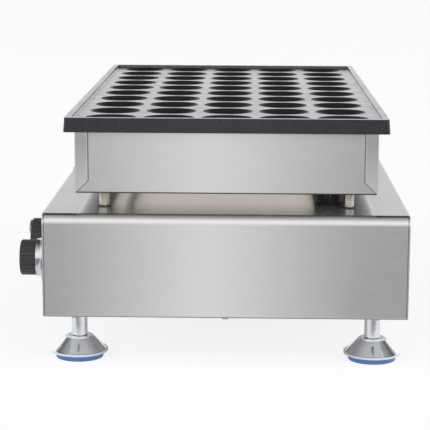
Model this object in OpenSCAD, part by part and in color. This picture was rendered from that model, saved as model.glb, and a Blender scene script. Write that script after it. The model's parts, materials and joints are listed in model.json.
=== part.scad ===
// Electric poffertjes maker: a cast baking plate of dimples on a heater box,
// carried on short posts above a sheet steel casing with four screw feet.
// +X runs along the machine to the right-hand zone, -Y is the control panel, +Z is up.
// The origin lies on the floor, under the middle of the whole machine.

/* [Baking plate] */
// Rows of dimples along the plate
dimple_rows = 10; // [6:2:12]
// Dimples in each row
dimple_columns = 5; // [5:2:7]
// Distance between the centres of two dimples
dimple_pitch = 50.2; // [48:0.1:56]
// Width of the metal left between two dimples
dimple_web = 6.4; // [5:0.1:14]
// Depth of a dimple below the cooking surface
dimple_depth = 7.5; // [5:0.1:8.4]
// Size of the broken edge round each dimple
dimple_lip = 0.6; // [0.2:0.1:1]
// From the centre of an end row to the end of the plate
plate_end_margin = 28; // [27.5:0.1:40]
// From the centre of a side column to the side of the plate
plate_side_margin = 37.4; // [33:0.1:45]
// Thickness of the casting below the cooking surface
plate_t = 9.6; // [9:0.1:14]
// Height of the rim above the cooking surface
rim_h = 2.8; // [2:0.1:8]
// Width of the rim along its top
rim_w = 5.4; // [3:0.1:8]
// Radius between the rim and the cooking surface
rim_fillet = 1.8; // [0.5:0.1:2]
// How much further the plate's foot stands out than its top
plate_draft = 1; // [0.2:0.1:2]
// Radius of the plate's upright corners
plate_corner_r = 3; // [2:0.1:8]

/* [Heater box] */
// How far the plate stands out beyond the heater box
plate_overhang = 9.1; // [4:0.1:14]
// Height of the heater box
box_h = 53.4; // [50:0.1:70]
// Thickness of the heater box sheet
box_sheet = 1; // [0.8:0.1:1.5]
// Width of the corner tabs lapped over the end walls
tab_w = 11; // [8:0.1:16]
// Width of the flange that carries the plate
box_flange = 14; // [12:0.1:18]
// Thickness of the insulation blanket, as a share of the height of the heater box
blanket_share = 0.3; // [0.2:0.01:0.3]

/* [Heating] */
// Diameter of the tubular heating elements
element_d = 8; // [6.5:0.1:8.5]
// Length of a thermostat bulb
bulb_l = 90; // [60:1:110]
// Diameter of a thermostat bulb
bulb_d = 6; // [4:0.1:6.5]
// Diameter of a thermostat capillary tube
capillary_d = 2; // [1.5:0.1:3]

/* [Posts] */
// Air gap between the casing and the heater box
post_gap = 15.3; // [10:0.1:30]
// Diameter of the spacer posts
post_d = 8.8; // [8:0.1:14]
// From the sides of the heater box to the post centres
post_inset = 23; // [22:0.1:30]
// Diameter of the post bolts
post_bolt_d = 6; // [5:0.1:6.5]
// Diameter of the braided lead sleeves
sleeve_d = 19; // [14:0.1:20]

/* [Casing] */
// How far the casing stands out past the ends of the heater box
end_ledge = 20.7; // [16:0.1:60]
// How far the casing stands out past the sides of the heater box
side_ledge = 26.6; // [20:0.1:60]
// Height of the casing
casing_h = 89.5; // [84:0.1:120]
// Thickness of the casing sheet
casing_sheet = 1.2; // [0.8:0.1:1.5]
// Outer radius of the long top bends
bend_r = 8; // [4:0.1:12]
// Width of the flanges under the two ends
end_flange = 24; // [20:0.1:28]
// Width of the flanges folded behind the two panels
panel_flange = 12; // [8:0.1:16]
// How far the panel edges stand out past the ends
panel_proud = 0.8; // [0.2:0.1:1]

/* [Controls] */
// How far the controls sit below the middle of the front panel
control_drop = 4; // [0:0.1:6]
// From the end of the casing to a thermostat knob
zone_knob_inset = 54.5; // [45:0.1:60]
// Place of the timer knob, as a share of the way from the middle to the right thermostat
timer_share = 0.66; // [0.6:0.01:0.7]
// Diameter of a thermostat grip
grip_d = 31.4; // [26:0.1:34]
// Length of a thermostat grip
grip_l = 14.2; // [12:0.1:22]
// Diameter of a chrome skirt at its foot
skirt_d = 48; // [42:0.1:52]
// Height of a chrome skirt
skirt_h = 10.2; // [9:0.1:14]
// Diameter of the timer knob
timer_d = 43; // [34:0.1:46]
// Length of the timer knob
timer_l = 25.2; // [18:0.1:28]
// Diameter of the control spindles
spindle_d = 6; // [5:0.1:7]
// Place of the lamps, as a share of the way from the middle to the thermostats
lamp_share = 0.35; // [0.3:0.01:0.4]

/* [Feet] */
// From the ends of the casing to the foot centres
foot_inset_x = 40.5; // [38:0.1:60]
// From the sides of the casing to the foot centres
foot_inset_y = 27; // [26:0.1:60]
// Diameter of a foot at its rim
foot_d = 50; // [40:0.1:52]
// Height of the chrome foot cone
cone_h = 14.4; // [12:0.1:20]
// Height of the rubber pad that shows under the cone
pad_show = 5.2; // [3:0.1:8]
// How far the rubber pad stands back from the rim of the cone
pad_inset = 3; // [1:0.1:6]
// Diameter of the leg between the cone and the casing
leg_d = 14; // [12:0.1:18]
// Length of leg that shows when it is screwed right in
leg_show = 25.6; // [18:0.1:40]
// Diameter of the threaded stud in the casing
stud_d = 10; // [8:0.1:11]
// How far a foot can be screwed out
foot_travel = 10; // [5:0.5:12]

/* [Fits] */
// Radial clearance of a turning fit
run_gap = 0.06; // [0.02:0.01:0.1]
// Clearance round a fixed piece in its hole
hole_gap = 0.3; // [0.2:0.05:0.5]
// Gap between faces that pass each other
face_gap = 0.4; // [0.3:0.05:0.8]

/* [Hidden] */

// Circles above twelve sides are true circles
$fn = 48;
// Sides of the rounded corners inside a hull
hull_fn = 32;
// Overrun of a cut past the face that it opens
over = 1;

// Heights above the floor, from the feet up
cone_z = pad_show;
leg_z = cone_z + cone_h;
casing_z = leg_z + leg_show;
casing_top = casing_z + casing_h;
box_z = casing_top + post_gap;
plate_z = box_z + box_h;
surface_z = plate_z + plate_t;

// Baking plate and heater box outlines
plate_l = (dimple_rows - 1) * dimple_pitch + 2 * plate_end_margin;
plate_w = (dimple_columns - 1) * dimple_pitch + 2 * plate_side_margin;
box_l = plate_l + 2 * plate_draft - 2 * plate_overhang;
box_w = plate_w + 2 * plate_draft - 2 * plate_overhang;
post_x = box_l / 2 - post_inset;
post_y = box_w / 2 - post_inset;
casing_l = box_l + 2 * end_ledge;
casing_w = box_w + 2 * side_ledge;
dimple_d = dimple_pitch - dimple_web;
dimple_r = dimple_d / 2;
dimple_sphere_r = (dimple_r * dimple_r + dimple_depth * dimple_depth) / (2 * dimple_depth);

// Screws through sheet and casting
screw_d = 5;
screw_head_d = 9;
screw_head_h = 3;
thread_depth = 5.5;
plate_screw_pitch = 4 * dimple_pitch;
plate_screw_y = box_w / 2 - box_flange / 2;

// Heating elements lie in the webs between the dimple columns
element_r = element_d / 2;
element_z = plate_z - element_r;
element_outer_y = 1.5 * dimple_pitch;
element_inner_y = 0.5 * dimple_pitch;
element_bend_r = element_inner_y;
terminal_setback = 5;
element_start_x = post_x - terminal_setback;
element_end_x = 0.5 * dimple_pitch;
terminal_bend_r = 10;
terminal_drop = 4;
terminal_pin_d = 3.5;
terminal_pin_l = 7;
insulator_d = 12;
insulator_h = 3.5;
clamp_t = 2;
clamp_w = 16;
clamp_l = 2 * element_outer_y + 4 * element_d;
clamp_z = element_z - element_r - clamp_t;
clamp_rows = [1, 3];
clamp_screw_y = dimple_pitch;

// Insulation and reflector inside the heater box
blanket_t = blanket_share * box_h;
tray_gap = 2;
reflector_t = 0.8;
reflector_lip = 6;
reflector_z = box_z + box_sheet + blanket_t;
bolt_head_d = 11;
bolt_head_h = 4;
bolt_pocket_d = bolt_head_d + 6 * face_gap;

// Thermostat bulbs and their capillary tubes
bulb_y = 0;
bulb_z = plate_z - clamp_t - bulb_d / 2;
bulb_gap = 10;
bulb_x = element_end_x + 2 * element_bend_r + bulb_gap;
capillary_bend = 8;
corner_swell = 1.15;

// Posts and sleeves
post_places = [for (sx = [-1, 0, 1]) for (sy = [-1, 1]) [sx * post_x, sy * post_y]];
washer_d = 12.6;
washer_t = 1.2;
nut_d = 11.5;
nut_h = 5;
sleeve_wall = 1.2;
sleeve_inset_x = 12;
sleeve_inset_y = 17;
sleeve_x = post_x - sleeve_inset_x;
sleeve_y = post_y - sleeve_inset_y;
sleeve_end = 10;
grommet_wall = 3;
grommet_lip = 1.8;

// Casing sheets
sheet = casing_sheet;
bend_inner_r = bend_r - sheet;
foot_bend_r = 2;
cover_w = casing_w - 2 * sheet;
panel_face = casing_w / 2;
inner_l = casing_l - 2 * sheet;
inner_top = casing_top - sheet;
floor_z = casing_z + sheet;
floor_top = floor_z + sheet;
seam_gap = 0.2;

// Bottom screws and vents
bottom_screw_inset_x = 10.5;
bottom_screw_inset_y = 26.3;
bottom_screw_x = casing_l / 2 - bottom_screw_inset_x;
bottom_screw_y = casing_w / 2 - bottom_screw_inset_y;
bottom_screw_d = 4;
bottom_head_d = 8;
bottom_head_h = 2.8;
bottom_nut_d = 8;
bottom_nut_h = 3.5;
vent_l = 40;
vent_w = 5;
vent_pitch = 14;
vent_count = 9;
vent_bank_share = 0.2;

// Louvres in the rear panel
louvre_l = 46;
louvre_r = 5;
louvre_pitch = 15;
louvre_rows = 4;
louvre_bank_shares = [-0.08, 0.08, 0.24];
louvre_t = 0.9;

// Controls on the front panel
panel_mid_z = casing_z + casing_h / 2;
control_z = panel_mid_z - control_drop;
zone_knob_x = casing_l / 2 - zone_knob_inset;
timer_x = timer_share * zone_knob_x;
lamp_x = lamp_share * zone_knob_x;
knob_gap = 1;
boss_d = 12;
boss_h = 1.8;
spindle_in = 15;
spindle_out = 16;
flat_share = 0.28;
thermostat_size = 36;
body_gap = 0.8;
thermostat_l = foot_inset_y - stud_d / 2 - sheet - body_gap;
timer_size = 44;
timer_body_l = 34;
control_screw_d = 4;
control_screw_spread = 28;
control_head_d = 6.6;
control_head_h = 0.9;
grip_flutes = 24;
flute_r = 1.1;
flute_out_share = 0.3;
timer_flutes = 32;
grip_cap = 1;
skirt_rim = 4.6;
skirt_bore_gap = 1;
skirt_bore_d = spindle_d + 2 * skirt_bore_gap;
skirt_wall = 1.6;
ring_t = 1.4;
ring_w = 2.6;

// Rocker switch, turning about a pin along X
switch_w = 21;
switch_frame_h = 30;
bezel_t = 2;
bezel_lip = 2;
rocker_w = 14;
rocker_r = 9.5;
rocker_tilt = 11;
rocker_pin_d = 3;
rocker_pin_l = 1.6;
rocker_pivot_in = 1.5;
rocker_dip = 2.2;
rocker_back = 5;
switch_body_l = 22;
contact_w = 6.3;
contact_t = 0.8;
contact_l = 8;

// Indicator lamps
lamp_d = 10;
lamp_bezel_d = 13;
lamp_bezel_h = 1.5;
lamp_dome_h = 3;
lamp_body_l = 24;

// Terminal block and cable gland
terminal_ways = 5;
terminal_pitch = 12;
terminal_w = 24;
terminal_h = 18;
terminal_inset = 50;
terminal_y = panel_face - terminal_inset;
gland_share = -0.28;
gland_x = gland_share * casing_l;
gland_rise = 26;
gland_z = casing_z + gland_rise;
gland_bore_d = 10;
gland_thread_d = 20;
gland_hex_d = 27;
gland_hex_h = 6;
gland_dome_d = 23;
gland_dome_h = 17;
gland_tip_share = 0.7;
gland_inside = 11;
locknut_d = 27;
locknut_h = 5;

// Feet
foot_x = casing_l / 2 - foot_inset_x;
foot_y = panel_face - foot_inset_y;
cone_wall = 1.6;
cone_shoulder_d = 22;
cone_shoulder_h = 1;
cone_lip_h = 2;
boss_wall = 3.2;
pivot_d = 8;
pivot_head_d = 12;
pivot_head_h = 2.4;
pivot_bush_l = 7;
pad_plug_h = cone_lip_h - hole_gap;
pad_d = foot_d - 2 * pad_inset;
pad_ring = 3;
pad_foot_share = 0.94;
foot_nut_d = 22;
foot_nut_h = 12;
stud_l = foot_nut_h + foot_travel;

// The whole machine is centred between its knobs and its cable gland
front_reach = panel_face + max(knob_gap + skirt_h + grip_l, knob_gap + timer_l);
rear_reach = panel_face + gland_hex_h + gland_dome_h;
centre_shift = (front_reach - rear_reach) / 2;

// Place a piece in the machine's own frame
module placed() {
    translate([0, centre_shift, 0]) children();
}

// Block centred in X and Y on its foot
module block(l, w, h) {
    translate([-l / 2, -w / 2, 0]) cube([l, w, h]);
}

// Rectangle with round corners, the top pair and the bottom pair each of one radius
module sheet_outline(w, h, r_top, r_foot) {
    translate([-w / 2, r_foot]) square([w, h - r_top - r_foot]);
    translate([-w / 2 + r_top, r_foot]) square([w - 2 * r_top, h - r_foot]);
    translate([-w / 2 + r_foot, 0]) square([w - 2 * r_foot, h - r_top]);
    for (s = [-1, 1]) {
        translate([s * (w / 2 - r_top), h - r_top]) circle(r = r_top);
        translate([s * (w / 2 - r_foot), r_foot]) circle(r = r_foot);
    }
}

// Extrude an X-Z outline along Y, from y0 to y1
module along_y(y0, y1) {
    translate([0, y1, 0]) rotate([90, 0, 0]) linear_extrude(height = y1 - y0) children();
}

// Turn a shape that grows along +Z so that it grows out of the front panel
module from_front(x, z) {
    translate([x, -panel_face, z]) rotate([90, 0, 0]) children();
}

// Round bar between two points
module bar(a, b, d) {
    v = b - a;
    l = norm(v);
    translate(a)
        rotate([0, acos(v[2] / l), atan2(v[1], v[0])])
            cylinder(h = l, d = d);
}

// Round bar through a list of points, with a slightly swollen ball at each corner
module pipe(points, d) {
    for (i = [0 : len(points) - 2]) bar(points[i], points[i + 1], d);
    for (i = [1 : 1 : len(points) - 2]) translate(points[i]) sphere(d = corner_swell * d);
}

// Bend of a round bar in a level plane
module bend(centre, r, d, from, sweep) {
    translate(centre) rotate([0, 0, from]) rotate_extrude(angle = sweep)
        translate([r, 0]) circle(d = d);
}

// Slot with round ends, lying along X or Y
module slot(l, w, h) {
    block(l - w, w, h);
    for (s = [-1, 1]) translate([s * (l - w) / 2, 0, 0]) cylinder(h = h, d = w);
}

// Hexagon nut or head, measured across its corners
module hex(d, h) {
    cylinder(h = h, d = d, $fn = 6);
}

// Pan head screw that grows down from z = 0 with its shank going up
module pan_screw(d, head_d, head_h, shank) {
    cylinder(h = shank, d = d);
    difference() {
        translate([0, 0, -head_h]) cylinder(h = head_h, d1 = head_d - head_h, d2 = head_d);
        translate([0, 0, -head_h - over]) block(head_d / 2, head_h / 3, head_h / 2 + over);
        translate([0, 0, -head_h - over]) block(head_h / 3, head_d / 2, head_h / 2 + over);
    }
}

// Slab with round upright corners that leans out towards its foot
module leaning_slab(l, w, h, r, lean) {
    hull() {
        for (sx = [-1, 1]) {
            for (sy = [-1, 1]) {
                translate([sx * (l / 2 - r), sy * (w / 2 - r), 0])
                    cylinder(h = h, r1 = r + lean, r2 = r, $fn = hull_fn);
            }
        }
    }
}

// Pocket with round corners and a round foot, open at the top
module filleted_pocket(l, w, h, r, fillet) {
    hull() {
        for (sx = [-1, 1]) {
            for (sy = [-1, 1]) {
                translate([sx * (l / 2 - r), sy * (w / 2 - r), 0]) {
                    translate([0, 0, fillet]) cylinder(h = h - fillet, r = r, $fn = hull_fn);
                    rotate_extrude($fn = hull_fn) intersection() {
                        translate([r - fillet, fillet]) circle(r = fillet, $fn = hull_fn);
                        square([r, h]);
                    }
                }
            }
        }
    }
}

// Cutter for one dimple: a ball cap with a broken edge
module dimple() {
    intersection() {
        translate([0, 0, dimple_sphere_r - dimple_depth]) sphere(r = dimple_sphere_r);
        translate([0, 0, -dimple_depth]) cylinder(h = dimple_depth + rim_h + over, r = dimple_r);
    }
    translate([0, 0, -dimple_lip])
        cylinder(h = dimple_lip, r1 = dimple_r, r2 = dimple_r + dimple_lip);
}

// Run the children at every plate screw
module at_plate_screws() {
    for (sx = [-1, 0, 1]) {
        for (sy = [-1, 1]) {
            translate([sx * plate_screw_pitch, sy * plate_screw_y, 0]) children();
        }
    }
}

// Run the children at every element clamp, in the webs between dimple rows
module at_clamps() {
    for (s = [-1, 1]) {
        for (row = clamp_rows) {
            translate([s * row * dimple_pitch, 0, 0]) children();
        }
    }
}

// Run the children at every screw of the element clamps
module at_clamp_screws() {
    at_clamps() for (sy = [-1, 1]) translate([0, sy * clamp_screw_y, 0]) children();
}

// Run the children at every post
module at_posts() {
    for (p = post_places) translate([p[0], p[1], 0]) children();
}

// Run the children at the two lead sleeves
module at_sleeves() {
    for (s = [-1, 1]) translate([s * sleeve_x, sleeve_y, 0]) children();
}

// Run the children at the screws under the two ends
module at_bottom_screws() {
    for (sx = [-1, 1]) {
        for (k = [-1, 0, 1]) {
            translate([sx * bottom_screw_x, k * bottom_screw_y, 0]) children();
        }
    }
}

// Run the children at the four feet
module at_feet() {
    for (sx = [-1, 1]) {
        for (sy = [-1, 1]) {
            translate([sx * foot_x, sy * foot_y, 0]) children();
        }
    }
}

module baking_plate() {
    color("dimgray") placed() difference() {
        translate([0, 0, plate_z])
            leaning_slab(plate_l, plate_w, plate_t + rim_h, plate_corner_r, plate_draft);
        translate([0, 0, surface_z])
            filleted_pocket(plate_l - 2 * rim_w, plate_w - 2 * rim_w, rim_h + over,
                plate_corner_r, rim_fillet);
        for (i = [0 : dimple_rows - 1]) {
            for (j = [0 : dimple_columns - 1]) {
                translate([
                    (i - (dimple_rows - 1) / 2) * dimple_pitch,
                    (j - (dimple_columns - 1) / 2) * dimple_pitch,
                    surface_z
                ]) dimple();
            }
        }
        translate([0, 0, plate_z - over]) {
            at_plate_screws() cylinder(h = over + thread_depth + face_gap, d = screw_d + hole_gap);
            at_clamp_screws() cylinder(h = over + thread_depth + face_gap, d = screw_d + hole_gap);
        }
    }
}

// Lapped tab on an end wall, its foot cut off at 45 degrees
module corner_tab() {
    rotate([90, 0, 90]) linear_extrude(height = box_sheet)
        polygon([[0, 0], [tab_w, tab_w], [tab_w, box_h], [0, box_h]]);
}

module heater_box() {
    color("silver") placed() translate([0, 0, box_z]) {
        difference() {
            union() {
                rotate([90, 0, 90]) translate([0, 0, -box_l / 2]) linear_extrude(height = box_l)
                    sheet_outline(box_w, box_h, box_sheet, 2 * box_sheet);
                for (sx = [-1, 1]) {
                    for (sy = [-1, 1]) {
                        mirror([sx < 0 ? 1 : 0, 0, 0]) mirror([0, sy < 0 ? 1 : 0, 0])
                            translate([box_l / 2, -box_w / 2 + box_sheet, 0]) corner_tab();
                    }
                }
            }
            translate([0, 0, box_sheet])
                block(box_l - 2 * box_sheet, box_w - 2 * box_sheet, box_h - 2 * box_sheet);
            block_l = box_l - 2 * box_flange;
            block_w = box_w - 2 * box_flange;
            translate([0, 0, box_h - 2 * box_sheet]) block(block_l, block_w, 2 * box_sheet + over);
            translate([0, 0, -over]) {
                at_posts() cylinder(h = box_sheet + 2 * over, d = post_bolt_d + hole_gap);
                at_sleeves() cylinder(h = box_sheet + 2 * over, d = sleeve_d + 2 * grommet_lip);
            }
            translate([0, 0, box_h - box_sheet - over])
                at_plate_screws() cylinder(h = box_sheet + 2 * over, d = screw_d + hole_gap);
        }
    }
}

module insulation_blanket() {
    color("ivory") placed() translate([0, 0, box_z + box_sheet]) difference() {
        block(box_l - 2 * box_sheet - 2 * tray_gap, box_w - 2 * box_sheet - 2 * tray_gap, blanket_t);
        translate([0, 0, -over]) {
            at_posts() cylinder(h = blanket_t + 2 * over, d = bolt_pocket_d);
            at_sleeves() cylinder(h = blanket_t + 2 * over, d = sleeve_d + 2 * grommet_wall + 2 * face_gap);
        }
    }
}

module heat_reflector() {
    tray_l = box_l - 2 * box_sheet - 2 * tray_gap;
    tray_w = box_w - 2 * box_sheet - 2 * tray_gap;
    color("gainsboro") placed() translate([0, 0, reflector_z]) difference() {
        block(tray_l, tray_w, reflector_lip);
        translate([0, 0, reflector_t])
            block(tray_l - 2 * reflector_t, tray_w - 2 * reflector_t, reflector_lip);
        translate([0, 0, -over]) {
            at_sleeves() cylinder(h = reflector_t + 2 * over, d = sleeve_d + 2 * grommet_wall + 2 * face_gap);
        }
    }
}

// One zone's heating element: two loops between the dimple columns, ends turned down
module heating_element() {
    inner_end_x = element_end_x + 2 * element_bend_r;
    outer_turn_x = element_end_x + element_bend_r;
    near_turn_x = element_start_x - element_bend_r - terminal_bend_r;
    z = element_z;
    yo = element_outer_y;
    yi = element_inner_y;
    bar([outer_turn_x, yo, z], [element_start_x, yo, z], element_d);
    bend([outer_turn_x, yo - element_bend_r, z], element_bend_r, element_d, 90, 90);
    bar([element_end_x, -yo + element_bend_r, z], [element_end_x, yo - element_bend_r, z], element_d);
    bend([outer_turn_x, -yo + element_bend_r, z], element_bend_r, element_d, 180, 90);
    bar([outer_turn_x, -yo, z], [near_turn_x, -yo, z], element_d);
    bend([near_turn_x, -yo + element_bend_r, z], element_bend_r, element_d, -90, 180);
    bar([inner_end_x + element_bend_r, -yi, z], [near_turn_x, -yi, z], element_d);
    bend([inner_end_x + element_bend_r, 0, z], element_bend_r, element_d, 90, 180);
    bar([inner_end_x + element_bend_r, yi, z], [element_start_x, yi, z], element_d);
    for (y = [yi, yo]) {
        translate([element_start_x, y, z - terminal_bend_r]) rotate([90, 0, 0])
            rotate_extrude(angle = 90) translate([terminal_bend_r, 0]) circle(d = element_d);
        translate([element_start_x + terminal_bend_r, y, z - terminal_bend_r - terminal_drop]) {
            cylinder(h = terminal_drop, d = element_d);
            translate([0, 0, -insulator_h - terminal_pin_l])
                cylinder(h = insulator_h + terminal_pin_l, d = terminal_pin_d);
        }
    }
}

module heating_element_right() {
    color("darkslategray") placed() heating_element();
}

module heating_element_left() {
    color("darkslategray") placed() mirror([1, 0, 0]) heating_element();
}

module element_insulators() {
    color("white") placed() for (s = [-1, 1]) {
        for (y = [element_inner_y, element_outer_y]) {
            translate([
                s * (element_start_x + terminal_bend_r),
                y,
                element_z - terminal_bend_r - terminal_drop - insulator_h
            ]) difference() {
                cylinder(h = insulator_h, d = insulator_d);
                translate([0, 0, -over]) cylinder(h = insulator_h + 2 * over, d = terminal_pin_d + hole_gap);
            }
        }
    }
}

module element_clamps() {
    color("lightslategray") placed() translate([0, 0, clamp_z]) difference() {
        at_clamps() block(clamp_w, clamp_l, clamp_t);
        translate([0, 0, -over]) at_clamp_screws() cylinder(h = clamp_t + 2 * over, d = screw_d + hole_gap);
    }
}

module clamp_screws() {
    shank = plate_z - clamp_z + thread_depth;
    color("gray") placed() translate([0, 0, clamp_z])
        at_clamp_screws() pan_screw(screw_d, screw_head_d, screw_head_h, shank);
}

module plate_screws() {
    color("gray") placed() translate([0, 0, plate_z - box_sheet])
        at_plate_screws() pan_screw(screw_d, screw_head_d, screw_head_h, box_sheet + thread_depth);
}

// Bulb under the plate, with its capillary led down the lead sleeve to the thermostat
module thermostat_bulb() {
    drop_x = sleeve_x;
    bulb_end = bulb_x + bulb_l;
    body_top = control_z + thermostat_size / 2;
    body_y = -panel_face + sheet + thermostat_l / 2;
    turn_z = (body_top + inner_top - sleeve_end) / 2;
    translate([bulb_x, bulb_y, bulb_z]) rotate([0, 90, 0]) cylinder(h = bulb_l, d = bulb_d);
    pipe([
        [bulb_end, bulb_y, bulb_z],
        [bulb_end + capillary_bend, bulb_y, bulb_z],
        [bulb_end + capillary_bend, bulb_y, clamp_z - 2 * capillary_bend],
        [drop_x, sleeve_y, clamp_z - 2 * capillary_bend],
        [drop_x, sleeve_y, turn_z],
        [zone_knob_x, body_y, turn_z],
        [zone_knob_x, body_y, body_top]
    ], capillary_d);
}

module thermostat_bulb_right() {
    color("peru") placed() thermostat_bulb();
}

module thermostat_bulb_left() {
    color("peru") placed() mirror([1, 0, 0]) thermostat_bulb();
}

module support_posts() {
    color("silver") placed() translate([0, 0, casing_top + washer_t]) at_posts() difference() {
        cylinder(h = post_gap - washer_t, d = post_d);
        translate([0, 0, -over]) cylinder(h = post_gap + 2 * over, d = post_bolt_d + hole_gap);
    }
}

module post_washers() {
    color("gray") placed() translate([0, 0, casing_top]) at_posts() difference() {
        cylinder(h = washer_t, d = washer_d);
        translate([0, 0, -over]) cylinder(h = washer_t + 2 * over, d = post_bolt_d + hole_gap);
    }
}

module post_bolts() {
    shank = box_z + box_sheet - inner_top + nut_h + over;
    color("gray") placed() translate([0, 0, box_z + box_sheet]) at_posts() {
        hex(bolt_head_d, bolt_head_h);
        translate([0, 0, -shank]) cylinder(h = shank, d = post_bolt_d);
    }
}

module post_nuts() {
    color("gray") placed() translate([0, 0, inner_top - nut_h]) at_posts() difference() {
        hex(nut_d, nut_h);
        translate([0, 0, -over]) cylinder(h = nut_h + 2 * over, d = post_bolt_d + 2 * run_gap);
    }
}

module lead_sleeves() {
    z0 = inner_top - sleeve_end;
    z1 = box_z + box_sheet + sleeve_end;
    color("black") placed() translate([0, 0, z0]) at_sleeves() difference() {
        cylinder(h = z1 - z0, d = sleeve_d);
        translate([0, 0, -over]) cylinder(h = z1 - z0 + 2 * over, d = sleeve_d - 2 * sleeve_wall);
    }
}

// Rubber grommet in a sheet whose lower face is at z = 0
module grommet(t) {
    h = t + 2 * grommet_lip;
    difference() {
        translate([0, 0, -grommet_lip]) cylinder(h = h, d = sleeve_d + 2 * grommet_wall);
        translate([0, 0, -grommet_lip - over]) cylinder(h = h + 2 * over, d = sleeve_d + hole_gap);
        difference() {
            cylinder(h = t, d = sleeve_d + 2 * grommet_wall + over);
            translate([0, 0, -over]) cylinder(h = t + 2 * over, d = sleeve_d + 2 * grommet_lip - hole_gap);
        }
    }
}

module sleeve_grommets() {
    color("black") placed() at_sleeves() {
        translate([0, 0, inner_top]) grommet(sheet);
        translate([0, 0, box_z]) grommet(box_sheet);
    }
}

module casing_cover() {
    color("silver") placed() difference() {
        along_y(-cover_w / 2, cover_w / 2) translate([0, casing_z])
            sheet_outline(casing_l, casing_h, bend_r, foot_bend_r);
        along_y(-casing_w, casing_w) translate([0, casing_z + sheet])
            sheet_outline(inner_l, casing_h - 2 * sheet, bend_inner_r, foot_bend_r - sheet);
        translate([0, 0, casing_z - over])
            block(casing_l - 2 * end_flange, casing_w, sheet + 2 * over);
        translate([0, 0, inner_top - over]) {
            at_posts() cylinder(h = sheet + 2 * over, d = post_bolt_d + hole_gap);
            at_sleeves() cylinder(h = sheet + 2 * over, d = sleeve_d + 2 * grommet_lip);
        }
        translate([0, 0, casing_z - over])
            at_bottom_screws() cylinder(h = sheet + 2 * over, d = bottom_screw_d + hole_gap);
    }
}

// One long panel with its top, end and bottom flanges, face at y = 0 and flanges to +Y
module long_panel() {
    flange_l = inner_l - 2 * seam_gap;
    flange_h = casing_h - sheet - seam_gap;
    flange_r = bend_inner_r - seam_gap;
    along_y(0, sheet) translate([0, casing_z])
        sheet_outline(casing_l + 2 * panel_proud, casing_h, bend_r + panel_proud, foot_bend_r);
    difference() {
        along_y(sheet / 2, sheet + panel_flange) translate([0, casing_z])
            sheet_outline(flange_l, flange_h, flange_r, sheet);
        along_y(0, sheet + panel_flange + over) translate([0, floor_z])
            sheet_outline(flange_l - 2 * sheet, flange_h - 2 * sheet, flange_r - sheet, sheet / 2);
        for (s = [-1, 1]) {
            translate([s * flange_l / 2, sheet, casing_z - over])
                translate([-end_flange - seam_gap, 0, 0])
                    cube([2 * (end_flange + seam_gap), panel_flange + over, over + 2 * sheet]);
        }
    }
}

module front_panel() {
    color("silver") placed() difference() {
        translate([0, -panel_face, 0]) long_panel();
        for (x = [zone_knob_x, -zone_knob_x, timer_x]) {
            from_front(x, control_z) translate([0, 0, -sheet - over]) {
                cylinder(h = sheet + 2 * over, d = boss_d + hole_gap);
                for (s = [-1, 1]) {
                    translate([s * control_screw_spread / 2, 0, 0])
                        cylinder(h = sheet + 2 * over, d = control_screw_d + hole_gap);
                }
            }
        }
        from_front(0, control_z) translate([0, 0, -sheet - over])
            block(switch_w + hole_gap, switch_frame_h - 2 * bezel_lip + hole_gap, sheet + 2 * over);
        for (s = [-1, 1]) {
            from_front(s * lamp_x, control_z) translate([0, 0, -sheet - over])
                cylinder(h = sheet + 2 * over, d = lamp_d + hole_gap);
        }
    }
}

// Pressed louvre: a quarter-round hood that is open below, on a wall at y = 0
module louvre() {
    intersection() {
        difference() {
            translate([-louvre_l / 2, 0, 0]) rotate([0, 90, 0]) cylinder(h = louvre_l, r = louvre_r);
            translate([-louvre_l / 2 + louvre_t, 0, 0]) rotate([0, 90, 0])
                cylinder(h = louvre_l - 2 * louvre_t, r = louvre_r - louvre_t);
        }
        translate([-louvre_l / 2, 0, 0]) cube([louvre_l, louvre_r, louvre_r]);
    }
}

// Run the children at every louvre of the rear panel
module at_louvres() {
    for (share = louvre_bank_shares) {
        for (k = [0 : louvre_rows - 1]) {
            translate([
                share * casing_l,
                panel_face,
                panel_mid_z + (k - (louvre_rows - 1) / 2) * louvre_pitch - louvre_r / 2
            ]) children();
        }
    }
}

module rear_panel() {
    color("silver") placed() {
        difference() {
            mirror([0, 1, 0]) translate([0, -panel_face, 0]) long_panel();
            at_louvres() translate([-louvre_l / 2 + louvre_t, -sheet - over, 0])
                cube([louvre_l - 2 * louvre_t, sheet + 2 * over, louvre_r - louvre_t]);
            translate([gland_x, panel_face - sheet - over, gland_z]) rotate([-90, 0, 0])
                cylinder(h = sheet + 2 * over, d = gland_thread_d + hole_gap);
        }
        at_louvres() louvre();
    }
}

module bottom_plate() {
    color("silver") placed() translate([0, 0, floor_z]) difference() {
        block(inner_l - 2 * seam_gap - 2 * sheet, casing_w - 2 * sheet - 2 * seam_gap, sheet);
        translate([0, 0, -over]) {
            at_feet() cylinder(h = sheet + 2 * over, d = stud_d + 4 * face_gap);
            at_bottom_screws() cylinder(h = sheet + 2 * over, d = bottom_screw_d + hole_gap);
            for (s = [-1, 1]) {
                for (k = [0 : vent_count - 1]) {
                    translate([s * vent_bank_share * casing_l, (k - (vent_count - 1) / 2) * vent_pitch, 0])
                        slot(vent_l, vent_w, sheet + 2 * over);
                }
            }
        }
    }
}

module bottom_screws() {
    color("gray") placed() translate([0, 0, casing_z]) at_bottom_screws()
        pan_screw(bottom_screw_d, bottom_head_d, bottom_head_h, 2 * sheet + bottom_nut_h + over);
}

module bottom_nuts() {
    color("gray") placed() translate([0, 0, floor_top]) at_bottom_screws() difference() {
        hex(bottom_nut_d, bottom_nut_h);
        translate([0, 0, -over]) cylinder(h = bottom_nut_h + 2 * over, d = bottom_screw_d + 2 * run_gap);
    }
}

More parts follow.
